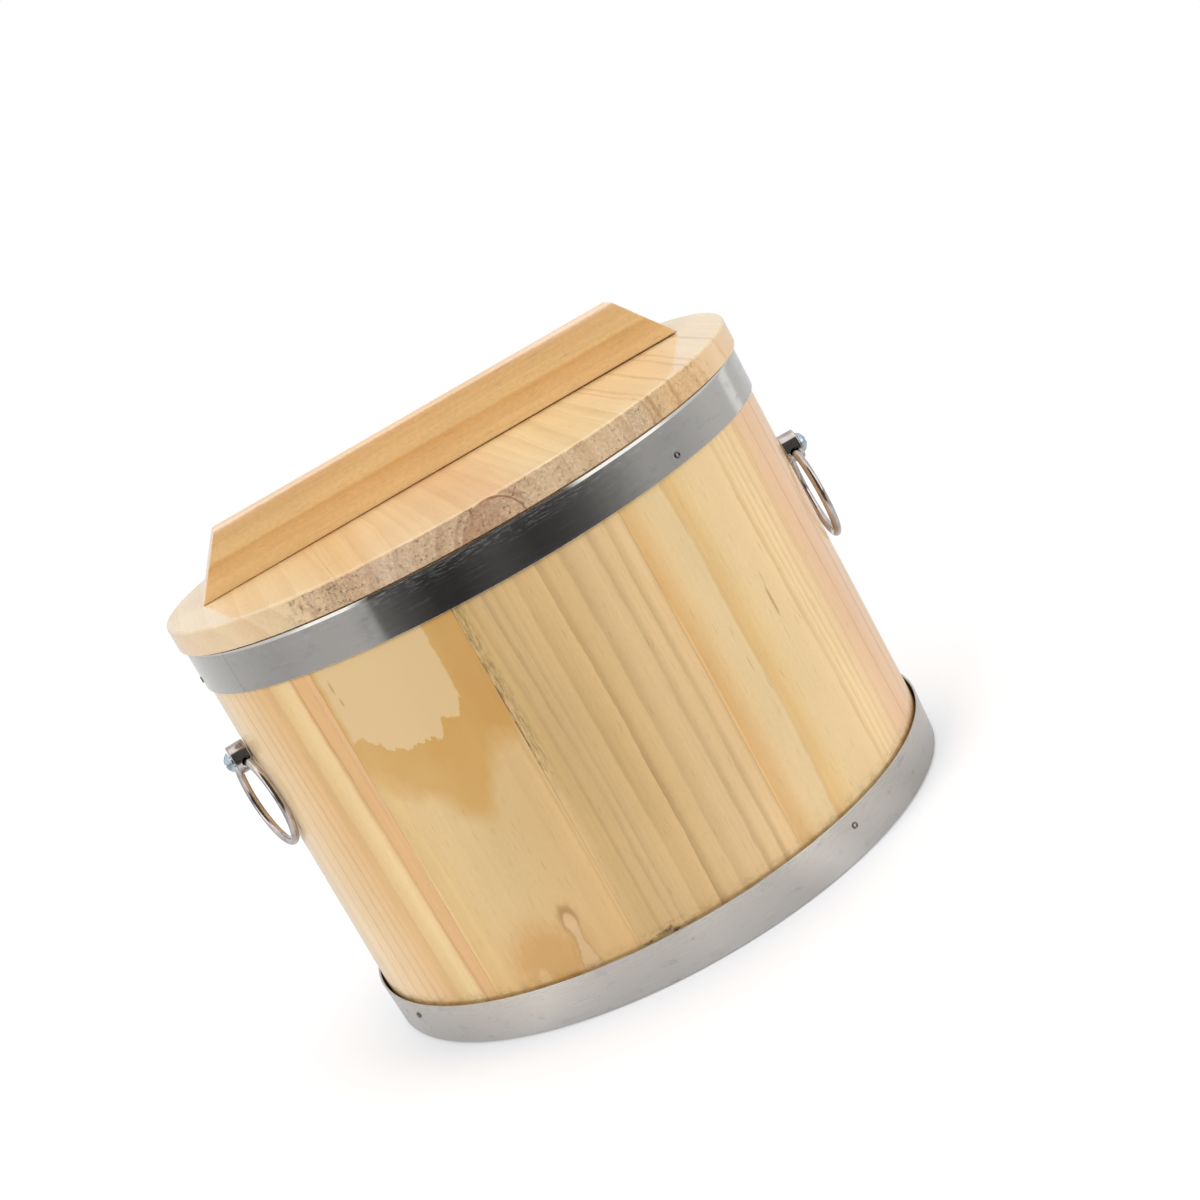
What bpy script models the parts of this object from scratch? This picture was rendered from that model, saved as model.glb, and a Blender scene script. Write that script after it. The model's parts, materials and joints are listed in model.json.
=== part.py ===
"""Coopered rice tub: wooden staves in two steel hoops, a lid with a batten handle and two ring pulls.

Metres, +Z up. The origin is the centre of the base, on the surface that the tub stands on.
-Y is the front. Directions round the tub are degrees from the front, positive towards +X.
"""

import math

import bmesh
import bpy
from mathutils import Matrix, Vector

MM = 0.001

# Clearance that touching pieces keep to each other
GAP = 0.3 * MM

# Staves
BODY_HEIGHT = 126.5 * MM
BODY_TOP_RADIUS = 87.8 * MM
BODY_BOTTOM_RADIUS = 87.6 * MM
WALL = 9.0 * MM
STAVE_CHAMFER = 0.6 * MM
FRONT_JOINTS = (-91.9, -44.4, -15.1, 17.1, 52.0, 96.0)
BACK_STAVES = 5
DEGREES_PER_FACET = 5.5

# Wooden pins that line the staves up at their joints
PIN_RADIUS = 1.5 * MM
PIN_LENGTH = 14.0 * MM
PIN_HEIGHT = 62.0 * MM

# Bottom boards and the groove that holds them
FLOOR_HEIGHT = 11.0 * MM
FLOOR_THICKNESS = 8.0 * MM
GROOVE_DEPTH = 4.0 * MM
FLOOR_BOARDS = 3

# Hoops and their nails
HOOP_HEIGHT = 12.3 * MM
HOOP_THICKNESS = 0.6 * MM
TOP_HOOP_FLARE = 0.1 * MM
BOTTOM_HOOP_FLARE = 0.6 * MM
BOTTOM_HOOP_LIFT = 0.3 * MM
RIM_REVEAL = 0.2 * MM
HOOP_STEPS = 96
TOP_NAIL_INSET = 2.8 * MM
BOTTOM_NAIL_INSET = 4.2 * MM
NAIL_SHANK_RADIUS = 0.55 * MM
NAIL_HEAD_RADIUS = 0.95 * MM
NAIL_HEAD_HEIGHT = 0.4 * MM
NAIL_COVER = 0.8 * MM
TOP_NAIL_ANGLES = (-86.6, 32.3, 152.4)
BOTTOM_NAIL_ANGLES = (-69.6, 27.9, 155.5)

# Lid boards: an overhanging plate with a step that drops into the mouth
LID_OVERHANG = 2.2 * MM
LID_PLATE = 7.6 * MM
LID_STEP = 4.0 * MM
LID_SIDE_CLEARANCE = 0.6 * MM
LID_ROUND = 0.7 * MM
LID_CHAMFER = 0.5 * MM
LID_JOINTS = (-43.8 * MM, 39.4 * MM)
LID_STEPS = 96

# Batten handle, with ends that slope inwards to the top
HANDLE_LENGTH = 156.0 * MM
HANDLE_END_SLOPE = 13.1 * MM
HANDLE_WIDTH = 10.2 * MM
HANDLE_HEIGHT = 16.9 * MM
HANDLE_ROUND = 0.5 * MM
HANDLE_SCREW_RADIUS = 1.6 * MM
HANDLE_SCREW_HEAD_RADIUS = 3.5 * MM
HANDLE_SCREW_HEAD_DEPTH = 2.2 * MM
HANDLE_SCREW_COVER = 5.7 * MM
HANDLE_SCREW_TIP = 2.5 * MM

# Ring pulls: a round post on the wall, a dome-head screw through it and a sprung split ring
PULL_ANGLES = {"left": -84.0, "right": 84.0}
PULL_DROPS = {"left": 33.6 * MM, "right": 36.8 * MM}
RING_TURNS = {"left": 10.0, "right": 0.0}
POST_RADIUS = 4.5 * MM
POST_LENGTH = 5.3 * MM
POST_ROUND = 0.35 * MM
RING_BORE_CLEARANCE = 0.4 * MM
RING_BORE_DROP = 1.3 * MM
RING_WIRE_RADIUS = 1.2 * MM
RING_RADIUS = 14.0 * MM
RING_SIDE_CLEARANCE = 0.9 * MM
RING_END_CLEARANCE = 0.7 * MM
RING_SEGMENTS = 40
PULL_SCREW_RADIUS = 1.6 * MM
PULL_SCREW_HEAD_RADIUS = 3.2 * MM
PULL_SCREW_HEAD_HEIGHT = 2.1 * MM
PULL_SCREW_COVER = 2.2 * MM
RECESS_LENGTH = 3.4 * MM
RECESS_WIDTH = 0.8 * MM
RECESS_DEPTH = 1.1 * MM

ROUND_SIDES = 24
SMALL_SIDES = 12
MERGE = 1e-6
REACH = 2.0 * MM

UP = Vector((0.0, 0.0, 1.0))

# Sizes that follow from the ones above
LID_RADIUS = BODY_TOP_RADIUS + LID_OVERHANG
LID_UNDERSIDE = BODY_HEIGHT + GAP
LID_TOP = LID_UNDERSIDE + LID_PLATE
STEP_BASE = LID_UNDERSIDE - LID_STEP
HANDLE_BASE = LID_TOP + GAP
NAIL_BITE = WALL - GROOVE_DEPTH - NAIL_COVER
PULL_SCREW_BITE = WALL - PULL_SCREW_COVER

# Surfaces: sRGB colour, roughness, metallic
FINISHES = {
    "pale_pine": ((0.92, 0.78, 0.56), 0.38, 0.0),
    "pink_pine": ((0.91, 0.73, 0.55), 0.38, 0.0),
    "amber_pine": ((0.86, 0.68, 0.42), 0.38, 0.0),
    "lid_pine": ((0.93, 0.80, 0.58), 0.30, 0.0),
    "handle_wood": ((0.88, 0.67, 0.42), 0.55, 0.0),
    "pin_wood": ((0.83, 0.70, 0.46), 0.60, 0.0),
    "hoop_steel": ((0.62, 0.62, 0.61), 0.30, 1.0),
    "nail_steel": ((0.38, 0.38, 0.38), 0.35, 1.0),
    "pull_nickel": ((0.72, 0.69, 0.68), 0.16, 1.0),
    "screw_zinc": ((0.70, 0.74, 0.76), 0.28, 1.0),
}


def clear_scene():
    """Remove whatever the scene starts with."""
    for obj in list(bpy.data.objects):
        bpy.data.objects.remove(obj, do_unlink=True)


def new_collection(name):
    """Make a collection in the scene."""
    collection = bpy.data.collections.new(name)
    bpy.context.scene.collection.children.link(collection)
    return collection


def linear(value):
    """Turn one sRGB channel into a linear value."""
    if value <= 0.04045:
        return value / 12.92
    return ((value + 0.055) / 1.055) ** 2.4


def surface(piece, finish):
    """Make one piece's own Principled BSDF material."""
    colour, roughness, metallic = FINISHES[finish]
    material = bpy.data.materials.new(f"{piece}_{finish}")
    material.use_nodes = True
    shader = material.node_tree.nodes["Principled BSDF"]
    shader.inputs["Base Color"].default_value = [linear(value) for value in colour] + [1.0]
    shader.inputs["Roughness"].default_value = roughness
    shader.inputs["Metallic"].default_value = metallic
    return material


def direction(angle):
    """Give the level unit vector that points out of the tub at an angle in degrees from the front."""
    turn = math.radians(angle)
    return Vector((math.sin(turn), -math.cos(turn), 0.0))


def facing(axis):
    """Give the rotation that turns +Z onto an axis."""
    return Vector(axis).to_track_quat("Z", "Y").to_matrix().to_4x4()


def body_radius(height):
    """Give the outer radius of the tapered wall at a height."""
    share = height / BODY_HEIGHT
    return BODY_BOTTOM_RADIUS + (BODY_TOP_RADIUS - BODY_BOTTOM_RADIUS) * share


def inner_radius(height):
    """Give the radius of the inside of the wall at a height."""
    return body_radius(height) - WALL


def add_object(name, data, collection, matrix=None):
    """Put a mesh or curve in a collection, at a place."""
    obj = bpy.data.objects.new(name, data)
    if matrix is not None:
        obj.matrix_world = matrix
    collection.objects.link(obj)
    return obj


def add_piece(name, data, finish, matrix=None):
    """Add one real piece with its own surface."""
    data.materials.append(surface(name, finish))
    return add_object(name, data, PARTS, matrix)


def smooth(mesh):
    """Shade a mesh smooth, with its real edges sharp."""
    mesh.shade_smooth()
    mesh.set_sharp_from_angle(angle=math.radians(30.0))


def mesh_from(name, bm):
    """Turn a finished bmesh into a mesh with its faces pointing out."""
    bmesh.ops.recalc_face_normals(bm, faces=bm.faces)
    mesh = bpy.data.meshes.new(name)
    bm.to_mesh(mesh)
    bm.free()
    smooth(mesh)
    return mesh


def rod_mesh(name, radius, length, sides):
    """Make a solid cylinder along Z, centred on the origin."""
    bm = bmesh.new()
    bmesh.ops.create_cone(
        bm, cap_ends=True, segments=sides, radius1=radius, radius2=radius, depth=length
    )
    return mesh_from(name, bm)


def box_mesh(name, size):
    """Make a solid box, centred on the origin."""
    bm = bmesh.new()
    bmesh.ops.create_cube(bm, size=1.0)
    bmesh.ops.scale(bm, vec=size, verts=bm.verts)
    return mesh_from(name, bm)


def profile_mesh(name, points, closed):
    """Make the outline that a turned piece is swept from, in the XZ plane at +X."""
    bm = bmesh.new()
    corners = [bm.verts.new((radius, 0.0, height)) for radius, height in points]
    followers = corners[1:] + corners[:1] if closed else corners[1:]
    for corner, follower in zip(corners, followers):
        bm.edges.new((corner, follower))
    mesh = bpy.data.meshes.new(name)
    bm.to_mesh(mesh)
    bm.free()
    return mesh


def turn(obj, steps):
    """Turn an outline right round Z."""
    screw = obj.modifiers.new("Turn", "SCREW")
    screw.axis = "Z"
    screw.angle = math.tau
    screw.steps = steps
    screw.render_steps = steps
    screw.use_merge_vertices = True
    screw.merge_threshold = MERGE
    screw.use_smooth_shade = True
    return obj


def add_cutter(name, mesh, matrix):
    """Add a shape that only cuts other pieces."""
    cutter = add_object(name, mesh, CUTTERS, matrix)
    cutter.hide_render = True
    cutter.display_type = "WIRE"
    return cutter


def rod_cutter(name, radius, start, end, sides=SMALL_SIDES):
    """Add a round cutter that runs from one point to another."""
    span = end - start
    matrix = Matrix.Translation((start + end) / 2) @ facing(span)
    return add_cutter(name, rod_mesh(name, radius, span.length, sides), matrix)


def combine(obj, cutter, operation="DIFFERENCE"):
    """Cut a piece with a cutter, or keep only what lies inside it."""
    boolean = obj.modifiers.new(cutter.name, "BOOLEAN")
    boolean.operation = operation
    boolean.solver = "EXACT"
    boolean.object = cutter


def stave_joints():
    """Give the joint directions all round: those of the front, then evenly shared ones behind."""
    back_start = FRONT_JOINTS[-1]
    back_step = (FRONT_JOINTS[0] + 360.0 - back_start) / BACK_STAVES
    return list(FRONT_JOINTS) + [back_start + back_step * count for count in range(1, BACK_STAVES)]


def stave_section():
    """Give the stave's upright section: chamfered ends and the groove for the bottom boards."""
    groove_low = FLOOR_HEIGHT - GAP
    groove_high = FLOOR_HEIGHT + FLOOR_THICKNESS + GAP
    shoulder = BODY_HEIGHT - STAVE_CHAMFER
    return [
        (body_radius(0.0) - STAVE_CHAMFER, 0.0),
        (body_radius(STAVE_CHAMFER), STAVE_CHAMFER),
        (body_radius(shoulder), shoulder),
        (body_radius(BODY_HEIGHT) - STAVE_CHAMFER, BODY_HEIGHT),
        (inner_radius(BODY_HEIGHT) + STAVE_CHAMFER, BODY_HEIGHT),
        (inner_radius(shoulder), shoulder),
        (inner_radius(groove_high), groove_high),
        (inner_radius(groove_high) + GROOVE_DEPTH, groove_high),
        (inner_radius(groove_low) + GROOVE_DEPTH, groove_low),
        (inner_radius(groove_low), groove_low),
        (inner_radius(STAVE_CHAMFER), STAVE_CHAMFER),
        (inner_radius(0.0) + STAVE_CHAMFER, 0.0),
    ]


def add_stave(name, start, end, finish):
    """Sweep the section round from one joint to the next, a little short of each."""
    trim = math.degrees(GAP / 2 / (BODY_BOTTOM_RADIUS - WALL / 2))
    sweep = math.radians(end - start - 2 * trim)
    facets = max(2, round((end - start) / DEGREES_PER_FACET))
    outward = direction(start + trim)
    bm = bmesh.new()
    corners = [bm.verts.new(outward * radius + UP * height) for radius, height in stave_section()]
    face = bm.faces.new(corners)
    outline = [face, *face.edges, *face.verts]
    bmesh.ops.spin(bm, geom=outline, cent=(0.0, 0.0, 0.0), axis=UP, angle=sweep, steps=facets)
    return add_piece(name, mesh_from(name, bm), finish)


def add_pin(number, angle, neighbours):
    """Set a wooden pin across a joint, half in each of the two staves."""
    name = f"stave_pin_{number:02d}"
    outward = direction(angle)
    along = UP.cross(outward)
    middle = outward * (body_radius(PIN_HEIGHT) - WALL / 2) + UP * PIN_HEIGHT
    matrix = Matrix.Translation(middle) @ facing(along)
    add_piece(name, rod_mesh(name, PIN_RADIUS, PIN_LENGTH, SMALL_SIDES), "pin_wood", matrix)
    half = along * (PIN_LENGTH / 2 + GAP)
    bore = rod_cutter(f"bore_{name}", PIN_RADIUS + GAP, middle - half, middle + half)
    for stave in neighbours:
        combine(stave, bore)


def build_staves():
    """Make the ring of staves and the pins between them."""
    joints = stave_joints()
    ends = joints[1:] + [joints[0] + 360.0]
    finishes = ["pink_pine", "amber_pine", "pale_pine", "pale_pine", "pink_pine"]
    finishes += ["pale_pine", "amber_pine"] * BACK_STAVES
    staves = []
    for number, (start, end) in enumerate(zip(joints, ends), 1):
        stave = add_stave(f"stave_{number:02d}", start, end, finishes[number - 1])
        staves.append((start, end, stave))
    for number, (start, _, stave) in enumerate(staves, 1):
        add_pin(number, start, (staves[number - 2][2], stave))
    return staves


def stave_at(staves, angle):
    """Find the stave that a direction falls in."""
    first = staves[0][0]
    wrapped = first + (angle - first) % 360.0
    return next(stave for start, end, stave in staves if start <= wrapped < end)


def build_floor():
    """Make the bottom boards, one disc sawn into boards along Y, with its edge in the groove."""
    middle = FLOOR_HEIGHT + FLOOR_THICKNESS / 2
    radius = inner_radius(FLOOR_HEIGHT) + GROOVE_DEPTH - GAP
    width = 2 * radius / FLOOR_BOARDS
    for number in range(FLOOR_BOARDS):
        name = f"bottom_board_{number + 1}"
        disc = rod_mesh(name, radius, FLOOR_THICKNESS, LID_STEPS)
        board = add_piece(name, disc, "pale_pine", Matrix.Translation(UP * middle))
        low = -radius + number * width + (GAP / 2 if number else -REACH)
        high = -radius + (number + 1) * width - (GAP / 2 if number < FLOOR_BOARDS - 1 else -REACH)
        combine(board, plank_cutter(name, low, high, radius, middle), "INTERSECT")


def plank_cutter(name, low, high, radius, height):
    """Add the box that keeps one board's stretch of a disc."""
    size = (high - low, 2 * (radius + REACH), 4 * max(LID_PLATE + LID_STEP, FLOOR_THICKNESS))
    centre = Vector(((low + high) / 2, 0.0, height))
    return add_cutter(f"plank_{name}", box_mesh(name, size), Matrix.Translation(centre))


def hoop_section(low, flare):
    """Give a hoop's closed section: it lies on the wall below and stands off it a little above."""
    high = low + HOOP_HEIGHT
    inner_low = body_radius(low) + GAP
    inner_high = body_radius(high) + GAP + flare
    return [
        (inner_high + HOOP_THICKNESS, high),
        (inner_low + HOOP_THICKNESS, low),
        (inner_low, low),
        (inner_high, high),
    ]


def hoop_face_radius(low, flare, height):
    """Give the outer radius of a hoop at a height."""
    share = (height - low) / HOOP_HEIGHT
    foot = body_radius(low) + GAP + HOOP_THICKNESS
    head = body_radius(low + HOOP_HEIGHT) + GAP + flare + HOOP_THICKNESS
    return foot + (head - foot) * share


def nail_profile(reach):
    """Give a nail's outline, from the head's crown at the axis down to its point."""
    return [
        (0.0, NAIL_HEAD_HEIGHT),
        (NAIL_HEAD_RADIUS * 0.6, NAIL_HEAD_HEIGHT * 0.85),
        (NAIL_HEAD_RADIUS, NAIL_HEAD_HEIGHT * 0.35),
        (NAIL_HEAD_RADIUS, 0.0),
        (NAIL_SHANK_RADIUS, 0.0),
        (NAIL_SHANK_RADIUS, -reach + 2 * NAIL_SHANK_RADIUS),
        (0.0, -reach),
    ]


def build_hoop(place, low, flare, nail_height, nail_angles, staves):
    """Make one hoop and the nails that hold it to the staves."""
    name = f"hoop_{place}"
    hoop = turn(add_piece(name, profile_mesh(name, hoop_section(low, flare), True), "hoop_steel"), HOOP_STEPS)
    seat = hoop_face_radius(low, flare, nail_height) + GAP
    reach = seat - body_radius(nail_height) + NAIL_BITE
    for number, angle in enumerate(nail_angles, 1):
        nail_name = f"hoop_nail_{place}_{number}"
        outward = direction(angle)
        head = outward * seat + UP * nail_height
        matrix = Matrix.Translation(head) @ facing(outward)
        outline = profile_mesh(nail_name, nail_profile(reach), False)
        turn(add_piece(nail_name, outline, "nail_steel", matrix), SMALL_SIDES)
        tip = head - outward * (reach + GAP)
        bore = rod_cutter(f"bore_{nail_name}", NAIL_SHANK_RADIUS + GAP, head + outward * REACH, tip)
        combine(hoop, bore)
        combine(stave_at(staves, angle), bore)


def lid_profile():
    """Give the lid's outline: rounded upper edge, plate, then the step that drops into the mouth."""
    step_radius = inner_radius(STEP_BASE) - LID_SIDE_CLEARANCE
    corner = [
        (LID_RADIUS - LID_ROUND * (1 - math.sin(bend)), LID_TOP - LID_ROUND * (1 - math.cos(bend)))
        for bend in (0.0, math.pi / 6, math.pi / 3, math.pi / 2)
    ]
    return [
        (0.0, LID_TOP),
        *corner,
        (LID_RADIUS, LID_UNDERSIDE + LID_CHAMFER),
        (LID_RADIUS - LID_CHAMFER, LID_UNDERSIDE),
        (step_radius, LID_UNDERSIDE),
        (step_radius, STEP_BASE),
        (0.0, STEP_BASE),
    ]


def build_lid():
    """Make the lid's boards, sawn along Y from one turned plate."""
    edges = [-LID_RADIUS - REACH, *LID_JOINTS, LID_RADIUS + REACH]
    boards = []
    for place, low, high in zip(("left", "middle", "right"), edges, edges[1:]):
        name = f"lid_board_{place}"
        board = turn(add_piece(name, profile_mesh(name, lid_profile(), False), "lid_pine"), LID_STEPS)
        plank = plank_cutter(name, low + GAP / 2, high - GAP / 2, LID_RADIUS, LID_UNDERSIDE)
        combine(board, plank, "INTERSECT")
        boards.append(board)
    return boards


def handle_screw_places():
    """Give one place along X on each lid board, in the middle of what the handle covers of it."""
    edges = [-HANDLE_LENGTH / 2, *LID_JOINTS, HANDLE_LENGTH / 2]
    return [(low + high) / 2 for low, high in zip(edges, edges[1:])]


def add_handle():
    """Make the batten: a bar along X whose top is shorter than its base."""
    bm = bmesh.new()
    bmesh.ops.create_cube(bm, size=1.0)
    bmesh.ops.scale(bm, vec=(HANDLE_LENGTH, HANDLE_WIDTH, HANDLE_HEIGHT), verts=bm.verts)
    for side in (-1, 1):
        corners = [corner for corner in bm.verts if corner.co.z > 0.0 and corner.co.x * side > 0.0]
        bmesh.ops.translate(bm, vec=(-side * HANDLE_END_SLOPE, 0.0, 0.0), verts=corners)
    matrix = Matrix.Translation(UP * (HANDLE_BASE + HANDLE_HEIGHT / 2))
    handle = add_piece("lid_handle", mesh_from("lid_handle", bm), "handle_wood", matrix)
    bevel = handle.modifiers.new("Eased edges", "BEVEL")
    bevel.width = HANDLE_ROUND
    bevel.segments = 2
    return handle


def handle_screw_profile(reach):
    """Give a countersunk screw's outline, head down: from its point down to the head's face."""
    return [
        (0.0, reach),
        (HANDLE_SCREW_RADIUS, reach - HANDLE_SCREW_TIP),
        (HANDLE_SCREW_RADIUS, HANDLE_SCREW_HEAD_DEPTH),
        (HANDLE_SCREW_HEAD_RADIUS, 0.0),
        (0.0, 0.0),
    ]


def build_handle(boards):
    """Make the handle and the screws that draw it down on the lid boards from below."""
    handle = add_handle()
    pieces = [handle]
    face = STEP_BASE + GAP / 2
    reach = HANDLE_BASE + HANDLE_HEIGHT - HANDLE_SCREW_COVER - face
    for number, (board, place) in enumerate(zip(boards, handle_screw_places()), 1):
        name = f"handle_screw_{number}"
        foot = Vector((place, 0.0, face))
        outline = profile_mesh(name, handle_screw_profile(reach), False)
        pieces.append(turn(add_piece(name, outline, "screw_zinc", Matrix.Translation(foot)), ROUND_SIDES))
        tip = foot + UP * (reach + GAP)
        bore = rod_cutter(f"bore_{name}", HANDLE_SCREW_RADIUS + GAP, foot - UP * REACH, tip, ROUND_SIDES)
        sink = add_cutter(f"sink_{name}", sink_mesh(name), Matrix.Translation(foot))
        combine(board, bore)
        combine(board, sink)
        combine(handle, bore)
    return pieces


def sink_mesh(name):
    """Make the cone that sinks a handle screw's head, wider than the head by the clearance all round."""
    low = -REACH
    high = HANDLE_SCREW_HEAD_DEPTH + GAP
    slope = (HANDLE_SCREW_HEAD_RADIUS - HANDLE_SCREW_RADIUS) / HANDLE_SCREW_HEAD_DEPTH
    wide = HANDLE_SCREW_HEAD_RADIUS + GAP + slope * (REACH + GAP / 2)
    narrow = wide - slope * (high - low)
    bm = bmesh.new()
    bmesh.ops.create_cone(
        bm, cap_ends=True, segments=ROUND_SIDES, radius1=wide, radius2=narrow, depth=high - low
    )
    bmesh.ops.translate(bm, vec=UP * ((low + high) / 2), verts=bm.verts)
    return mesh_from(f"sink_{name}", bm)


def pull_height(side):
    """Give the height of a pull's axis above the base."""
    return BODY_HEIGHT - PULL_DROPS[side]


def post_start(side):
    """Give the distance from the tub's axis to the inner end of a pull's post."""
    return body_radius(pull_height(side) + POST_RADIUS) + GAP


def ring_points():
    """Give the ring's centre line round its hinge as distances sideways and up."""
    opening = math.asin((POST_RADIUS + RING_SIDE_CLEARANCE) / RING_RADIUS)
    drop = RING_RADIUS * math.cos(opening)
    step = (math.tau - 2 * opening) / RING_SEGMENTS
    turns = [opening + step * count for count in range(RING_SEGMENTS + 1)]
    return [(RING_RADIUS * math.sin(turn), RING_RADIUS * math.cos(turn) - drop) for turn in turns]


def hinge_radius(side):
    """Give a hinge's distance from the tub's axis: half a post out, or further where the ring needs it."""
    turn = math.radians(RING_TURNS[side])
    low = pull_height(side) - RING_BORE_DROP
    reaches = [post_start(side) + POST_LENGTH / 2]
    for sideways, up in ring_points():
        clear = body_radius(low + up) + RING_WIRE_RADIUS + GAP
        inward = abs(sideways * math.sin(turn))
        along = sideways * math.cos(turn)
        reaches.append(inward + math.sqrt(clear**2 - along**2))
    return max(reaches)


def post_end(side):
    """Give the distance from the tub's axis to the outer end of a pull's post."""
    return hinge_radius(side) + POST_LENGTH / 2


def pull_place(side, radius):
    """Give the point on a pull's axis at a distance from the tub's axis."""
    return direction(PULL_ANGLES[side]) * radius + UP * pull_height(side)


def hinge_place(side):
    """Give the middle of a ring's hinge, in its post and a little below the screw."""
    return pull_place(side, hinge_radius(side)) - UP * RING_BORE_DROP


def add_post(side):
    """Make a pull's post, bored along its length for the screw and across for the ring's ends."""
    name = f"pull_post_{side}"
    start = post_start(side)
    end = post_end(side)
    matrix = Matrix.Translation(pull_place(side, (start + end) / 2)) @ facing(direction(PULL_ANGLES[side]))
    post = add_piece(name, rod_mesh(name, POST_RADIUS, end - start, 2 * ROUND_SIDES), "pull_nickel", matrix)
    bevel = post.modifiers.new("Eased rims", "BEVEL")
    bevel.width = POST_ROUND
    bevel.segments = 2
    screw_bore = rod_cutter(
        f"bore_screw_{side}",
        PULL_SCREW_RADIUS + GAP,
        pull_place(side, start - REACH),
        pull_place(side, end + REACH),
        ROUND_SIDES,
    )
    across = UP.cross(direction(PULL_ANGLES[side] + RING_TURNS[side])) * (POST_RADIUS + REACH)
    hinge = hinge_place(side)
    ring_bore_radius = RING_WIRE_RADIUS + RING_BORE_CLEARANCE
    ring_bore = rod_cutter(f"bore_ring_{side}", ring_bore_radius, hinge - across, hinge + across, ROUND_SIDES)
    combine(post, screw_bore)
    combine(post, ring_bore)


def pull_screw_profile(reach):
    """Give the dome-head screw's outline, from the crown at the axis down to its point."""
    dome = (PULL_SCREW_HEAD_RADIUS**2 + PULL_SCREW_HEAD_HEIGHT**2) / (2 * PULL_SCREW_HEAD_HEIGHT)
    spread = math.asin(PULL_SCREW_HEAD_RADIUS / dome)
    crown = [
        (dome * math.sin(spread * share), PULL_SCREW_HEAD_HEIGHT - dome * (1 - math.cos(spread * share)))
        for share in (0.0, 0.25, 0.5, 0.75, 1.0)
    ]
    return [
        *crown,
        (PULL_SCREW_RADIUS, 0.0),
        (PULL_SCREW_RADIUS, -reach + 2 * PULL_SCREW_RADIUS),
        (0.0, -reach),
    ]


def add_pull_screw(side, stave):
    """Make the screw that holds a post to its stave, with a cross recess in the dome."""
    name = f"pull_screw_{side}"
    seat = post_end(side) + GAP
    wall = body_radius(pull_height(side))
    reach = seat - wall + PULL_SCREW_BITE
    matrix = Matrix.Translation(pull_place(side, seat)) @ facing(direction(PULL_ANGLES[side]))
    outline = pull_screw_profile(reach)
    screw = turn(add_piece(name, profile_mesh(name, outline, False), "screw_zinc", matrix), ROUND_SIDES)
    crown = matrix @ Matrix.Translation(UP * PULL_SCREW_HEAD_HEIGHT)
    for arm, size in (
        ("flat", (RECESS_LENGTH, RECESS_WIDTH, 2 * RECESS_DEPTH)),
        ("upright", (RECESS_WIDTH, RECESS_LENGTH, 2 * RECESS_DEPTH)),
    ):
        recess_name = f"recess_{arm}_{side}"
        combine(screw, add_cutter(recess_name, box_mesh(recess_name, size), crown))
    bore = rod_cutter(
        f"bore_{name}",
        PULL_SCREW_RADIUS + GAP,
        pull_place(side, wall + REACH),
        pull_place(side, wall - PULL_SCREW_BITE - GAP),
        ROUND_SIDES,
    )
    combine(stave, bore)


def ring_path():
    """Give the ring's centre line round its hinge: a pivot end, the hanging round, the other pivot end."""
    pivot_end = PULL_SCREW_RADIUS + RING_END_CLEARANCE
    loop = [(0.0, sideways, up) for sideways, up in ring_points()]
    return [(0.0, pivot_end, 0.0), *loop, (0.0, -pivot_end, 0.0)]


def add_ring(side):
    """Bend a pull's ring from wire, hanging from its hinge; its hole may be turned a little to the front."""
    name = f"pull_ring_{side}"
    wire = bpy.data.curves.new(name, "CURVE")
    wire.dimensions = "3D"
    wire.bevel_depth = RING_WIRE_RADIUS
    wire.bevel_resolution = 3
    wire.use_fill_caps = True
    points = ring_path()
    spline = wire.splines.new("POLY")
    spline.points.add(len(points) - 1)
    for point, place in zip(spline.points, points):
        point.co = (*place, 1.0)
    hinge = add_object(f"{name}_hinge", None, PARTS)
    hinge.location = hinge_place(side)
    hinge.rotation_euler.z = math.radians(PULL_ANGLES[side] + RING_TURNS[side] - 90.0)
    ring = add_piece(name, wire, "pull_nickel")
    ring.parent = hinge


def build_pulls(staves):
    """Make the two ring pulls."""
    for side, angle in PULL_ANGLES.items():
        add_post(side)
        add_pull_screw(side, stave_at(staves, angle))
        add_ring(side)


def parent_lid(pieces):
    """Hang the lid's pieces on an empty on the lid's lifting axis."""
    lift = add_object("lid_lift_axis", None, PARTS)
    lift.location = UP * LID_UNDERSIDE
    for piece in pieces:
        piece.parent = lift
        piece.matrix_parent_inverse = Matrix.Translation(-lift.location)


def main():
    """Build the whole tub."""
    staves = build_staves()
    build_floor()
    bottom_low = BOTTOM_HOOP_LIFT
    bottom_nails = bottom_low + HOOP_HEIGHT - BOTTOM_NAIL_INSET
    build_hoop("bottom", bottom_low, BOTTOM_HOOP_FLARE, bottom_nails, BOTTOM_NAIL_ANGLES, staves)
    top_low = BODY_HEIGHT - RIM_REVEAL - HOOP_HEIGHT
    build_hoop("top", top_low, TOP_HOOP_FLARE, top_low + TOP_NAIL_INSET, TOP_NAIL_ANGLES, staves)
    boards = build_lid()
    handle_pieces = build_handle(boards)
    build_pulls(staves)
    parent_lid(boards + handle_pieces)


clear_scene()
PARTS = new_collection("rice_tub")
CUTTERS = new_collection("rice_tub_cutters")
main()
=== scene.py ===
# %% [markdown]
# # A coopered rice tub in lacquered pine
#
# The tub is ten upright staves held by two steel hoops, with a loose lid and two ring pulls. This
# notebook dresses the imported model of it: each cell makes one kind of piece or one finish, and prints
# what it made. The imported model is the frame, and the sizes here repeat its sizes.

import json
import math
from functools import partial
from types import SimpleNamespace

import bmesh
import bpy
from mathutils import Matrix, Vector


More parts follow.
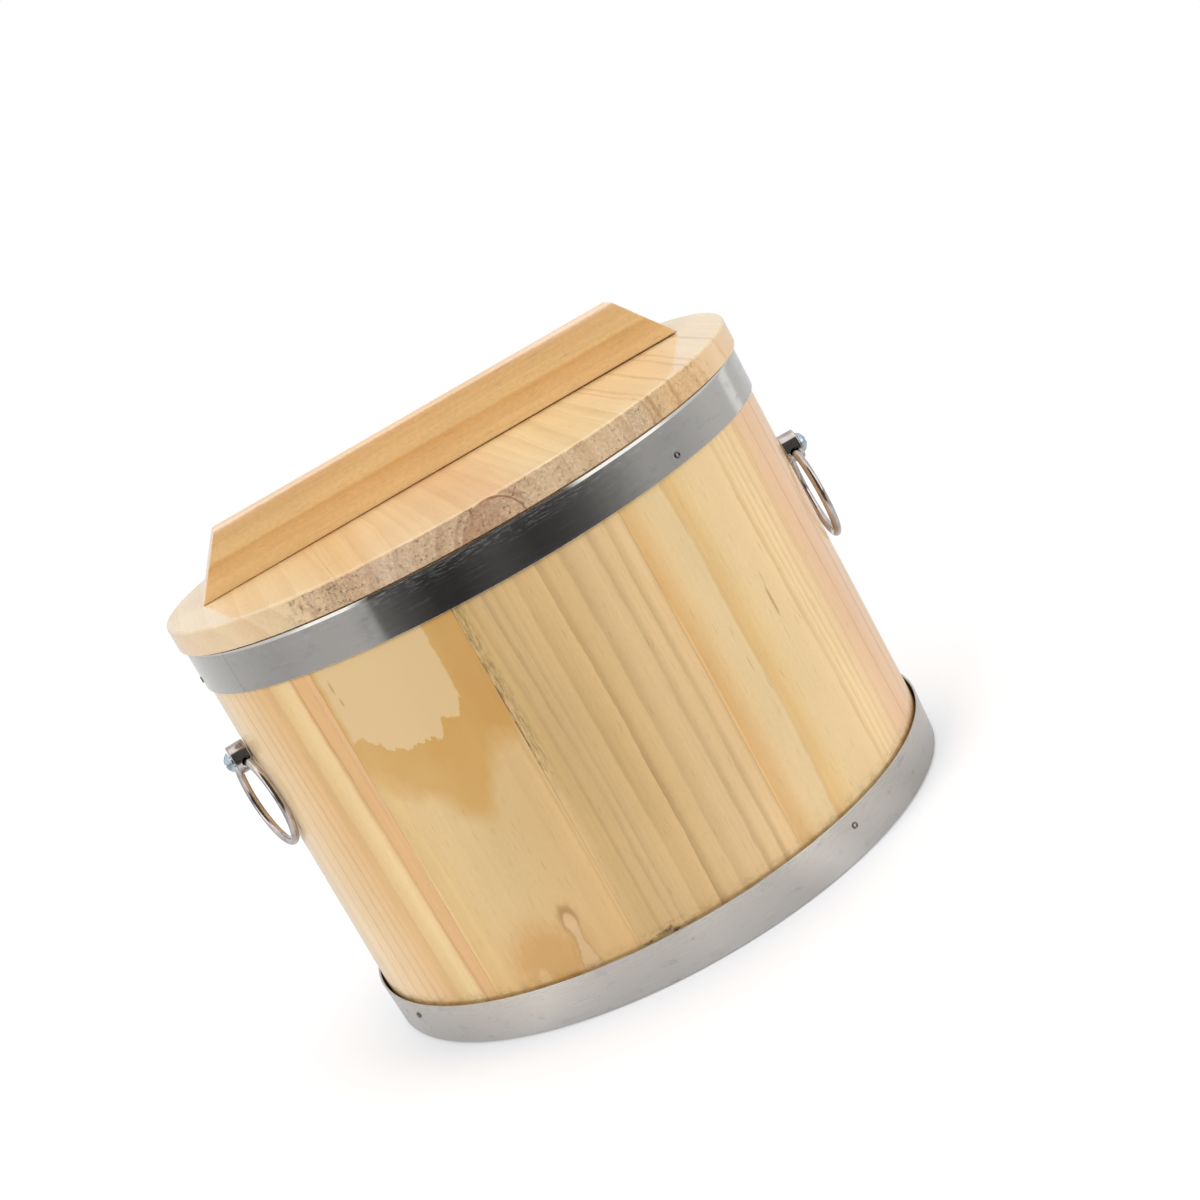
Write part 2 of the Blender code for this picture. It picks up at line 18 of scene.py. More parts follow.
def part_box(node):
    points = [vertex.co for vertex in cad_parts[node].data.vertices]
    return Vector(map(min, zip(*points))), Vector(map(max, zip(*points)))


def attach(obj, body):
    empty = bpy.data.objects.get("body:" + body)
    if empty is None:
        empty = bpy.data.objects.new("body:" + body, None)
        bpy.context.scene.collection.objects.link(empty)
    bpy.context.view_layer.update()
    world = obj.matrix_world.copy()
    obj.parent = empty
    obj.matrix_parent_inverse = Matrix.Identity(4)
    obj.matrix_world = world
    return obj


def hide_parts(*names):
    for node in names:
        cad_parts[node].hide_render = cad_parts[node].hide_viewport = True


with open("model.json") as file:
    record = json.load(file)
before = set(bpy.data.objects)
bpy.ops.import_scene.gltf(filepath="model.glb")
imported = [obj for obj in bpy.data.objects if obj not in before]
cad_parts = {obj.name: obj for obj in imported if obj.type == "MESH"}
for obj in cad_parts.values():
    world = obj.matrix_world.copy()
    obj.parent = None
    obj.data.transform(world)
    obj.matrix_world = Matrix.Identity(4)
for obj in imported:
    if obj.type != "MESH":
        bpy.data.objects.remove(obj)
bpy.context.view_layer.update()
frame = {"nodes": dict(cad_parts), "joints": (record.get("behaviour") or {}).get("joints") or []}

# %% [markdown]
# ## Sizes
#
# Every size is a real one in millimetres, turned into metres once. Points closer than `SAME_SPOT`, in
# metres, count as one. Directions round the tub are degrees from the front, which faces -Y, and positive
# towards the right-hand pull.

# %% Sizes in millimetres
MM = 0.001
UP = Vector((0.0, 0.0, 1.0))
SAME_SPOT = 1e-6
BODY_HEIGHT = 126.5
RIM_RADIUS = 87.8
FOOT_RADIUS = 87.6
WALL = 9.0
STAVE_JOINTS = [-91.9, -44.4, -15.1, 17.1, 52.0, 96.0]
BACK_STAVES = 5
back_sweep = (360.0 - STAVE_JOINTS[-1] + STAVE_JOINTS[0]) / BACK_STAVES
STAVE_JOINTS += [STAVE_JOINTS[-1] + back_sweep * count for count in range(1, BACK_STAVES + 1)]


def wall_radius(height):
    """Radius of the tub's outside at a height."""
    return FOOT_RADIUS + (RIM_RADIUS - FOOT_RADIUS) * height / BODY_HEIGHT


def direction(angle):
    """Unit vector that points out from the tub's axis."""
    turn = math.radians(angle)
    return Vector((math.sin(turn), -math.cos(turn), 0.0))


print("stave joints at", [round(angle, 1) for angle in STAVE_JOINTS])

# %% [markdown]
# ## The camera
#
# The picture was taken from 0.6 m away and a little above the rim, looking down by ten degrees and rolled
# by about 30. The lens is given by its focal length in pixels of a 1200 pixel frame, and a small shift
# puts the tub where the picture has it.


# %% Camera
def new_object(name, data):
    """Put an object with this data into the scene."""
    made = bpy.data.objects.new(name, data)
    bpy.context.scene.collection.objects.link(made)
    return made


FRAME_PIXELS = 1200.0
FOCAL_PIXELS = 2138.93
camera_data = bpy.data.cameras.new("picture camera")
camera_data.sensor_width = 36.0
camera_data.lens = FOCAL_PIXELS / FRAME_PIXELS * camera_data.sensor_width
camera_data.shift_x = 0.1
camera_data.shift_y = -0.0333
camera = new_object("picture camera", camera_data)
STAND = Vector((0.0, -606.11, 216.04))
heading = Matrix.Rotation(math.radians(-5.2), 3, "Z")
yaw, pitch, roll = (math.radians(value) for value in (-0.31, 10.36, 29.41))
ahead = Vector((math.sin(yaw) * math.cos(pitch), math.cos(yaw) * math.cos(pitch), -math.sin(pitch)))
level = Vector((math.cos(yaw), -math.sin(yaw), 0.0))
below = ahead.cross(level)
right = math.cos(roll) * level + math.sin(roll) * below
down = -math.sin(roll) * level + math.cos(roll) * below
turned = heading @ Matrix((right, -down, -ahead)).transposed()
camera.matrix_world = Matrix.Translation(heading @ STAND * MM) @ turned.to_4x4()
bpy.context.scene.camera = camera
print("camera at mm", [round(value / MM, 1) for value in camera.matrix_world.translation])

# %% [markdown]
# ## Adding shader nodes
#
# A procedural finish is a small network, and one function adds any node of it. Its settings go in by name,
# and its mode is what a maths node does or what a mix node mixes. Its sockets, by name or as a list in
# their order, take a number, a colour or another node. A range node's list is the value, the range it comes
# from and the range it goes to. Colours are sRGB hex values, turned into the renderer's linear numbers.


# %% Node and colour helpers
def plug(node, socket, value):
    """Set a socket to a number or colour, or link it from a node's first output in use."""
    if isinstance(value, bpy.types.Node):
        value = next(output for output in value.outputs if output.enabled)
    if isinstance(value, bpy.types.NodeSocket):
        node.id_data.links.new(value, node.inputs[socket])
    else:
        node.inputs[socket].default_value = value


def add(tree, kind, sockets=(), mode=None, **settings):
    """Add a shader node, set it up, and fill its sockets."""
    node = tree.nodes.new("ShaderNode" + kind)
    if mode:
        setattr(node, "data_type" if kind == "Mix" else "operation", mode)
    for name, value in settings.items():
        setattr(node, name, value)
    if isinstance(sockets, list):
        in_use = [number for number, socket in enumerate(node.inputs) if socket.enabled]
        sockets = zip(in_use, sockets)
    for name, value in dict(sockets).items():
        plug(node, name, value)
    return node


def colour(code):
    """Turn an sRGB hex colour into linear red, green, blue and alpha."""
    parts = [int(code[start : start + 2], 16) / 255.0 for start in (0, 2, 4)]
    return [part / 12.92 if part <= 0.04045 else ((part + 0.055) / 1.055) ** 2.4 for part in parts] + [1.0]


def ramp(tree, place, stops, interpolation="LINEAR"):
    """Add a colour ramp over 0 to 1 whose stops are a place with a hex colour or a grey number."""
    node = add(tree, "ValToRGB", [place])
    band = node.color_ramp
    band.interpolation = interpolation
    band.elements.remove(band.elements[1])
    for count, (position, tone) in enumerate(sorted(stops, key=lambda stop: stop[0])):
        position = min(max(position, 0.0), 1.0)
        element = band.elements.new(position) if count else band.elements[0]
        element.position = position
        element.color = colour(tone) if isinstance(tone, str) else (tone, tone, tone, 1.0)
    return node


def bearing(tree, parts):
    """Give the angle round the tub in radians from the front, from a point's separated X and Y."""
    front = add(tree, "Math", [parts.outputs["Y"], -1.0], "MULTIPLY")
    return add(tree, "Math", [parts.outputs["X"], front], "ARCTAN2")


def compass(tree, angle, tones):
    """Add a ramp round the tub, for an angle in radians, from tones at bearings in degrees."""
    share = add(tree, "MapRange", [angle, -math.pi, math.pi])
    return ramp(tree, share, [((degrees + 180) / 360, tone) for degrees, tone in tones])


def new_material(name, constants=()):
    """Make a material whose Principled shader has these constants; give it, its tree and the shader."""
    material = bpy.data.materials.new(name)
    material.use_nodes = True
    tree = material.node_tree
    tree.nodes.clear()
    shader = add(tree, "BsdfPrincipled", constants)
    add(tree, "OutputMaterial", {"Surface": shader})
    return material, tree, shader


print("mid grey 808080 is linear", round(colour("808080")[0], 3))

# %% [markdown]
# ## Light and background
#
# Soft light comes from large lamps above and at both sides, and the world fills the shadows. The camera
# sees a white background. Only glossy rays see the studio: a dark room in front between two bright
# softboxes, a bright ceiling and pale walls behind. It gives the steel its dark middle and bright streaks.

# %% World
world = bpy.data.worlds.new("studio")
bpy.context.scene.world = world
world.use_nodes = True
tree = world.node_tree
tree.nodes.clear()
path = add(tree, "LightPath")
way = add(tree, "SeparateXYZ", [add(tree, "TexCoord").outputs["Generated"]])
around = bearing(tree, way)
ROOM = [(-180, 0.8), (-158, 0.78), (-135, 0.67), (-114, 0.56), (-98, 0.5), (-82, 0.56), (-62, 0.57),
        (-54, 0.51), (-51, 0.18), (-42, 0.11), (-30, 0.045), (-20, 0.04), (-4, 0.09), (12, 0.052),
        (22, 0.07), (33, 0.12), (45, 0.25), (61, 0.48), (77, 0.49), (103, 0.66), (119, 0.68), (121, 1.0),
        (126.5, 1.0), (129, 0.66), (150, 0.72), (180, 0.8)]
low_room = compass(tree, around, ROOM)
CARDS = [(-180, 0.46), (-110, 0.57), (-86, 0.62), (-80, 1.0), (-60, 1.0), (-52, 0.06), (29, 0.06),
         (37, 1.0), (72, 1.0), (80, 0.62), (110, 0.57), (180, 0.46)]
high_room = add(tree, "VectorMath", [compass(tree, around, CARDS), 1.6], "SCALE")
low_part = add(tree, "MapRange", [way.outputs["Z"], -0.03, 0.02])
top_part = add(tree, "MapRange", [way.outputs["Z"], 0.86, 0.94])
mirrored = add(tree, "Mix", [low_part, low_room, high_room], "RGBA")
mirrored = add(tree, "Mix", [top_part, mirrored, (1.3, 1.3, 1.3, 1)], "RGBA")
fill = add(tree, "Background", {"Color": colour("f4f6ff"), "Strength": 0.42})
white = add(tree, "Background", {"Color": (1, 1, 1, 1), "Strength": 1.0})
studio = add(tree, "Background", {"Color": mirrored, "Strength": 1.0})
glossy = add(tree, "MixShader", [path.outputs["Is Glossy Ray"], fill, studio])
seen = add(tree, "Math", [path.outputs["Is Camera Ray"], path.outputs["Is Transmission Ray"]], "MAXIMUM")
add(tree, "OutputWorld", {"Surface": add(tree, "MixShader", [seen, glossy, white])})
print("world nodes:", len(tree.nodes))


# %% Lamps
def add_lamp(name, place, target, size, power):
    """Add a square soft lamp that points at a target; places are in metres, power in watts."""
    lamp = bpy.data.lights.new(name, "AREA")
    lamp.shape = "SQUARE"
    lamp.size = size
    lamp.energy = power
    holder = new_object(name, lamp)
    holder.location = place
    holder.rotation_euler = (Vector(target) - Vector(place)).to_track_quat("-Z", "Y").to_euler()
    holder.visible_glossy = False


MIDDLE = (0.0, 0.0, 0.08)
add_lamp("key softbox", (-0.95, -0.8, 0.85), MIDDLE, 0.9, 11.8)
add_lamp("fill softbox", (1.05, -0.7, 0.6), MIDDLE, 0.9, 8.6)
add_lamp("top softbox", (0.1, 0.35, 1.25), MIDDLE, 1.0, 8.8)

# %% [markdown]
# ## The floor
#
# The floor is a disc of matt white paper with the tub's soft shadow on it, and at its edge it and the white
# background look the same. Glossy rays see it in painted reflection tones by bearing, so the steel and the
# lacquer mirror it pale close to the tub and dark further out in front. From below it is clear, and it has
# a hole under the tub, so that the foot can be seen and gets light.

# %% Floor
FLOOR_RADIUS = 0.5
material, tree, shader = new_material("matt white paper sweep", {
    "Roughness": 1.0, "Specular IOR Level": 0.0, "Emission Color": (1, 1, 1, 1)})
path = add(tree, "LightPath")
spot = add(tree, "TexCoord").outputs["Object"]
around = bearing(tree, add(tree, "SeparateXYZ", [spot]))
distance = add(tree, "VectorMath", [spot], "LENGTH")
far_out = add(tree, "MapRange", [distance, 0.15, 0.23])
# Painted reflection: tones by bearing that only glossy rays see, near the tub and further out.
NEAR_FLOOR_REFLECTION = [(-180, 0.7), (-100, 0.72), (-77, 0.79), (-60, 0.83), (-48, 0.92), (-41, 1.0), (-34, 0.88),
              (-23, 0.78), (-12, 0.78), (-4, 0.85), (5, 0.79), (15, 0.74), (24, 0.95), (33, 0.76),
              (43, 0.74), (52, 0.64), (62, 0.7), (78, 0.76), (100, 0.7), (180, 0.7)]
near = compass(tree, around, NEAR_FLOOR_REFLECTION)
far = compass(tree, around, [stop for stop in ROOM if not 118 < stop[0] < 130])
painted_reflection = add(tree, "Mix", [far_out, near, far], "RGBA")
paper = add(tree, "Mix", [path.outputs["Is Glossy Ray"], colour("e4e4e4"), painted_reflection], "RGBA")
lift = add(tree, "Math", [path.outputs["Is Camera Ray"], 0.22], "MULTIPLY")
plug(shader, "Base Color", paper)
plug(shader, "Emission Strength", lift)
behind = add(tree, "NewGeometry").outputs["Backfacing"]
hole = add(tree, "Math", [distance, (FOOT_RADIUS - 1.6) * MM], "LESS_THAN")
clear = add(tree, "Math", [behind, hole], "MAXIMUM")
two_sided = add(tree, "MixShader", [clear, shader, add(tree, "BsdfTransparent")])
plug(tree.nodes["Material Output"], "Surface", two_sided)
bm = bmesh.new()
bmesh.ops.create_circle(bm, cap_ends=True, segments=96, radius=FLOOR_RADIUS)
mesh = bpy.data.meshes.new("paper floor")
bm.to_mesh(mesh)
bm.free()
mesh.materials.append(material)
floor = new_object("paper_floor", mesh)
floor.location.z = -0.0002
print("floor radius", FLOOR_RADIUS, "m")

# %% [markdown]
# ## Wood as a solid
#
# Pine grows a ring each year: a wide pale part, then a narrow amber one that ends sharply. A board shows
# where its faces cut those rings, so the finish is drawn as a solid. Every point has a distance across the
# board, along its grain and deep, and the ring pattern is its distance from the tree's heart, bent a little
# by noise, so the faces and the end grain agree. For a stave, across goes round the tub and along is the
# height. For a flat board they are plain directions.


# %% Board coordinates
def stave_coordinates(tree, middle):
    """Give across, along and deep in mm for a stave whose middle is at an angle."""
    place = add(tree, "TexCoord").outputs["Object"]
    turn = add(tree, "Mapping", {
        "Vector": place, "Rotation": (0.0, 0.0, -math.radians(middle)), "Scale": (1 / MM,) * 3})
    parts = add(tree, "SeparateXYZ", [turn])
    across = add(tree, "Math", [bearing(tree, parts), FOOT_RADIUS], "MULTIPLY")
    squares = add(tree, "CombineXYZ", {"X": parts.outputs["X"], "Y": parts.outputs["Y"]})
    radius = add(tree, "VectorMath", [squares], "LENGTH")
    return across, parts.outputs["Z"], radius


def stretched_noise(tree, spot, scale, detail, roughness=0.5):
    """Add noise with a scale of its own in each direction, per unit of the point it is read at."""
    placed = add(tree, "Mapping", {"Vector": spot, "Scale": scale})
    return add(tree, "TexNoise", {"Vector": placed, "Scale": 1.0, "Detail": detail, "Roughness": roughness})


def board_coordinates(tree, across="X", along="Y", deep="Z"):
    """Give across, along and deep in mm for a flat board from the names of three axes."""
    place = add(tree, "TexCoord").outputs["Object"]
    parts = add(tree, "SeparateXYZ", [add(tree, "Mapping", {"Vector": place, "Scale": (1 / MM,) * 3})])
    return parts.outputs[across], parts.outputs[along], parts.outputs[deep]


# %% [markdown]
# ## Pine under lacquer
#
# Planed pine under a clear satin lacquer shows broad tones that change across a board, growth rings with
# one soft and one sharp side, fine fibres, short dark resin ducts, and a shine that comes from the clear
# coat. Where a board is sawn across, its end grain is darker and rough, and drinks up most of the lacquer.
#
# `tones` are broad colours and `rings` the sharp edges of growth rings, each at a place in mm from the
# board's left edge. `heart` is where the tree's heart lies, from the left edge and as a depth. Pine's
# fibres are about 0.03 mm wide, too fine to show, so they are drawn about 0.4 mm wide.


# %% Pine finish
def pine(name, coordinates, edges, face, axis, tones, rings, heart, late="9a6a38", lean=0.0, wave=1.0,
         sharp=1, seed=0.0, coat=0.6, gloss=0.16, rough_end=1.0, streaks=0.03, end_from=0.79,
         figure=0.65, faint=1.0, pits=0.75, speckle=0.02):
    """Make lacquered pine for one board and give its nodes, so that later cells can add to it."""
    material, tree, shader = new_material(name, {
        "Roughness": 0.5, "IOR": 1.5, "Coat Roughness": gloss, "Coat IOR": 1.5})
    across, along, deep = coordinates(tree)
    left, width = edges[0], edges[1] - edges[0]
    spot = add(tree, "CombineXYZ", {"X": across, "Y": along, "Z": deep})
    seeded = add(tree, "VectorMath", [spot, (seed * 37.0, seed * 91.0, seed * 13.0)], "ADD")

    noise = partial(stretched_noise, tree, seeded)

    def stretch(value, low, high, start=0.3, end=0.7):
        """Map a noise value to a range."""
        return add(tree, "MapRange", [value, start, end, low, high])

    # The grain leans, wanders slowly along the board and shivers a little
    slow = stretch(noise((0.03, 0.009, 0.03), 1.0), -2.2 * wave, 2.2 * wave)
    quick = noise((0.2, 0.03, 0.2), 2.0)
    shiver = stretch(quick, -0.45 * wave, 0.45 * wave)
    jitter = stretch(noise((0.35, 0.22, 0.35), 3.0, 0.6), -0.28 * wave, 0.28 * wave)
    tilt = add(tree, "Math", [along, lean, -lean * 65.0], "MULTIPLY_ADD")
    bent = across
    for shift in (slow, shiver, jitter, tilt):
        bent = add(tree, "Math", [bent, shift], "ADD")
    # Distance from the heart of the tree
    from_heart = add(tree, "Math", [bent, left + heart[0]], "SUBTRACT")
    below_face = add(tree, "Math", [deep, heart[1]], "SUBTRACT")
    arm = add(tree, "CombineXYZ", {"X": from_heart, "Y": below_face})
    reach = add(tree, "VectorMath", [arm], "LENGTH")

    def away(place):
        """Give the distance from the heart of a place on the board's face."""
        return math.hypot(place - heart[0], face - heart[1])

    spans = sorted(away(place) for place in (0.0, width, min(max(heart[0], 0.0), width)))
    near, far = spans[0], spans[-1]
    spread = add(tree, "MapRange", [reach, near, far])
    broad = add(tree, "MapRange", [bent, left, left + width])
    base = ramp(tree, broad, [(place / width, tone) for place, tone in tones], "B_SPLINE")
    places = sorted((away(place), strength) for place, strength in rings)
    stops = [(0.0, 0.0)] if sharp > 0 and places[0][0] > near + 0.5 else []
    for count, (place, strength) in enumerate(places):
        gap = (places[count + 1][0] if sharp > 0 and count + 1 < len(places) else far) - place
        if sharp < 0:
            gap = place - (places[count - 1][0] if count else near)
        step = sharp * min(max(abs(gap) * 0.25, 0.05), 0.7)
        stops.append(((place - near) / (far - near), strength))
        if strength > 0.0:
            stops.append(((place + step - near) / (far - near), 0.0))
    ring = ramp(tree, spread, stops)
    # Fibres, fine rings, clouds and resin ducts
    fibre = noise((2.3, 0.035, 2.3), 3.0, 0.6)
    band = noise((0.6, 0.005, 0.3), 2.0, 0.55)
    cloud = noise((0.05, 0.025, 0.05), 2.0)
    duct = stretch(noise((2.4, 0.14, 2.4), 1.0), 0.0, 0.3, 0.68, 0.78)
    fine = noise((1.3, 0.006, 0.9), 2.0, 0.6)
    grit = noise((1.1, 0.7, 1.1), 2.0, 0.7)
    value = stretch(fibre, 1 - 0.04 * figure, 1 + 0.035 * figure)
    for pattern, darkest, lightest in (
        (band, -0.05 * figure, 0.04 * figure),
        (fine, -streaks, 0.8 * streaks),
        (grit, -speckle, speckle),
        (cloud, -0.035, 0.03),
    ):
        value = add(tree, "Math", [value, stretch(pattern, 1 + darkest, 1 + lightest)], "MULTIPLY")
    amount = add(tree, "Math", [ring, stretch(quick, 0.5 * faint, faint)], "MULTIPLY")
    ringed = add(tree, "Mix", [amount, base, colour(late)], "RGBA")
    ducts = add(tree, "Mix", [duct, ringed, colour("8a5f38")], "RGBA")
    # End grain: where the surface faces along the grain
    facing = add(tree, "SeparateXYZ", [add(tree, "TexCoord").outputs["Normal"]]).outputs[axis]
    facing = add(tree, "Math", [facing], "ABSOLUTE")
    ragged = add(tree, "Math", [facing, stretch(noise((0.5, 0.5, 0.5), 2.0), -0.06, 0.06)], "ADD")
    end = add(tree, "MapRange", [ragged, end_from, end_from + 0.06])
    pore = noise((1.1, 1.1, 1.1), 5.0, 0.75)
    pit = stretch(noise((0.8, 0.8, 0.8), 5.0, 0.8), 0.0, 1.0, 0.56, 0.61)
    drab = add(tree, "Mix", [stretch(pore, 0.0, 1.0, 0.34, 0.62), colour("dfc5a2"), colour("ab8c71")],
               "RGBA")
    sawn = add(tree, "Mix", [0.72, ducts, drab], "RGBA")
    for mark, strength, tone in ((pit, pits, "5a4028"), (ring, 0.75, "94633c")):
        mark = add(tree, "Math", [mark, strength], "MULTIPLY")
        sawn = add(tree, "Mix", [mark, sawn, colour(tone)], "RGBA")
    whole = add(tree, "Mix", [end, ducts, sawn], "RGBA")
    toned = add(tree, "VectorMath", [whole, value], "SCALE")
    # The fibres show faintly through the clear coat; end grain is open
    hollow = add(tree, "Math", [pore, add(tree, "Math", [pit, -0.5], "MULTIPLY")], "ADD")
    deep_end = add(tree, "Math", [end, rough_end], "MULTIPLY")
    height = add(tree, "Mix", [deep_end, add(tree, "Math", [fibre, 0.1], "MULTIPLY"), hollow])
    rise = add(tree, "Bump", {"Height": height, "Strength": 0.5, "Distance": 0.0004})
    plug(shader, "Normal", rise)
    plug(shader, "Base Color", toned)
    if coat > 0.0:
        plug(shader, "Coat Weight", add(tree, "Mix", [end, coat, coat * 0.15]))
    arc = add(tree, "Math", [across, left], "SUBTRACT")
    bent_arc = add(tree, "Math", [bent, left], "SUBTRACT")
    return SimpleNamespace(
        material=material, tree=tree, shader=shader, colour=toned, arc=arc, along=along, across=bent_arc,
        deep=deep, reach=reach, noise=noise, stretch=stretch, width=width, end=end, pore=pore, skin=None)


print("pine finish ready")

# %% [markdown]
# ## Marks on a board
#
# Real boards carry marks: a patch where lacquer lies thick, a resin stain, a spindle-shaped fleck, dirt
# along a hoop. Each is a tone laid over the board by an amount that comes from a place across and along
# the board in mm, roughened by noise.


# %% Mark helpers
def put(board, tone, *amounts):
    """Lay a tone over a board by the product of amounts from 0 to 1; on a stave only on its outer face."""
    tree = board.tree
    skin = [board.skin] if board.skin else []
    amount, *others = [*amounts, *skin]
    for other in others:
        amount = add(tree, "Math", [amount, other], "MULTIPLY")
    board.colour = add(tree, "Mix", [amount, board.colour, colour(tone)], "RGBA")
    plug(board.shader, "Base Color", board.colour)


def oval(board, place, size, ragged=0.15, soft=0.5):
    """Give 1 inside an oval at a place across and along, fading to 0 over its soft rim."""
    tree = board.tree
    spot = add(tree, "CombineXYZ", {"X": board.arc, "Y": board.along})
    gap = add(tree, "VectorMath", [spot, (*place, 0.0)], "SUBTRACT")
    gap = add(tree, "VectorMath", [gap, (1 / size[0], 1 / size[1], 0.0)], "MULTIPLY")
    gap = add(tree, "VectorMath", [gap], "LENGTH")
    rough = board.stretch(board.noise((0.8, 0.3, 0.0), 3.0), -ragged, ragged)
    gap = add(tree, "Math", [gap, rough], "ADD")
    return add(tree, "MapRange", [gap, 1 - soft, 1 + soft, 1.0, 0.0], interpolation_type="SMOOTHSTEP")


def above(board, points, ragged, soft, waves=(0.5, 0.12, 0.0)):
    """Give 1 above a line drawn through places across and heights along, fading to 0 below it."""
    tree = board.tree
    share = add(tree, "MapRange", [board.arc, 0.0, board.width])
    line = ramp(tree, share, [(place / board.width, height / BODY_HEIGHT) for place, height in points])
    rough = board.stretch(board.noise(waves, 3.0), -ragged, ragged)
    line = add(tree, "Math", [line, BODY_HEIGHT, rough], "MULTIPLY_ADD")
    over = add(tree, "Math", [board.along, line], "SUBTRACT")
    return add(tree, "MapRange", [over, -soft, soft], interpolation_type="SMOOTHSTEP")


def part(board, value, low, high, amount=1.0):
    """Give 0 below a low value and an amount above a high one; low may be the larger."""
    return add(board.tree, "MapRange", [value, low, high, 0.0, amount])


print("mark helpers ready")

# %% [markdown]
# ## Making a piece
#
# Round pieces start as a flat outline of radius and height. Its corners are eased with a vertex bevel, and
# a spin sweeps it round the tub's axis: a full turn for a hoop, part of one for a stave. Each finished mesh
# gets smooth shading with sharp edges kept, and its object stays at the origin, like the frame's nodes.


# %% Modelling helpers
ROUND_STEPS = 240


def outline(bm, points, angle=0.0):
    """Add a flat face from radius and height in mm, on the line at an angle from the front."""
    out = direction(angle)
    return bm.faces.new([bm.verts.new((out * radius + UP * height) * MM) for radius, height in points])


def pick(geometry, kind):
    """Give the elements of one kind."""
    return [element for element in geometry if isinstance(element, kind)]


def ease(bm, geometry, size, segments=2, affect="EDGES"):
    """Round edges or corners by a size in mm."""
    bmesh.ops.bevel(bm, geom=geometry, offset=size * MM, offset_type="OFFSET", segments=segments,
                    profile=0.5, affect=affect, clamp_overlap=True, material=-1)


def spin(bm, sweep, steps, axis=UP):
    """Sweep all there is round an axis; a full turn closes on itself. Gives the last copy."""
    whole = abs(sweep) >= 360.0
    if whole:
        bmesh.ops.delete(bm, geom=bm.faces[:], context="FACES_ONLY")
    made = bmesh.ops.spin(bm, geom=bm.verts[:] + bm.edges[:] + bm.faces[:], cent=(0.0, 0.0, 0.0), axis=axis,
                          angle=math.radians(sweep), steps=steps, use_merge=whole)
    return made["geom_last"]


def turn_solid(bm, steps):
    """Turn an outline that touches the tub's axis into a closed solid."""
    bmesh.ops.delete(bm, geom=bm.faces[:], context="FACES_ONLY")
    spine = [edge for edge in bm.edges if all(vert.co.xy.length < SAME_SPOT for vert in edge.verts)]
    bmesh.ops.delete(bm, geom=spine, context="EDGES")
    spin(bm, 360.0, steps)


def publish(bm, name, material, body, nodes, sharp=32.0):
    """Close a bmesh into a named piece that rides on a body and stands for CAD nodes."""
    bmesh.ops.remove_doubles(bm, verts=bm.verts[:], dist=SAME_SPOT)
    bmesh.ops.recalc_face_normals(bm, faces=bm.faces[:])
    mesh = bpy.data.meshes.new(name)
    bm.to_mesh(mesh)
    bm.free()
    mesh.materials.append(material)
    mesh.shade_smooth()
    mesh.set_sharp_from_angle(angle=math.radians(sharp))
    piece = new_object(name, mesh)
    piece.modifiers.new("even shading", "WEIGHTED_NORMAL").keep_sharp = True
    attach(piece, body)
    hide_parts(*nodes)
    print(name, len(mesh.polygons), "faces")


# %% [markdown]
# ## The staves
#
# A stave is a board hollowed and rounded to the tub's curve, with a groove near the foot for the bottom
# boards. Its upright section is spun from one joint to the next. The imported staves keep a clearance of
# 0.3 mm at each joint. On the real tub glue and the hoops close it, so these meet in a hairline.

# %% Stave shape
GROOVE_LOW, GROOVE_HIGH, GROOVE_DEPTH = 10.7, 19.3, 4.0
HAIRLINE = 0.012


def stave_points():
    """Give the stave's upright section as radius and height."""
    mouth, foot = wall_radius(BODY_HEIGHT), wall_radius(0.0)
    points = [(foot, 0.0), (mouth, BODY_HEIGHT), (mouth - WALL, BODY_HEIGHT)]
    for height, cut in ((GROOVE_HIGH, 0.0), (GROOVE_HIGH, GROOVE_DEPTH), (GROOVE_LOW, GROOVE_DEPTH),
                        (GROOVE_LOW, 0.0)):
        points.append((wall_radius(height) - WALL + cut, height))
    return points + [(foot - WALL, 0.0)]


def make_stave(number, finish):
    """Spin one stave between its joints and ease the edges of its joints."""
    start, end = STAVE_JOINTS[number - 1], STAVE_JOINTS[number]
    trim = math.degrees(HAIRLINE / FOOT_RADIUS)
    bm = bmesh.new()
    outline(bm, stave_points(), start + trim)
    ease(bm, bm.verts[:], 0.45, affect="VERTICES")
    first = bm.faces[:]
    last = spin(bm, end - start - 2 * trim, round((end - start) / 1.2))
    caps = first + pick(last, bmesh.types.BMFace)
    rims = {edge for cap in caps if cap.is_valid for edge in cap.edges}
    ease(bm, list(rims), 0.08)
    publish(bm, f"pine_stave_{number:02d}", finish.material, "tub", [f"stave_{number:02d}"])


# %% [markdown]
# ## One board, one finish
#
# Each stave came from another board, so each has its own tones and rings. The five at the front follow the
# picture, and the five behind follow a rule.

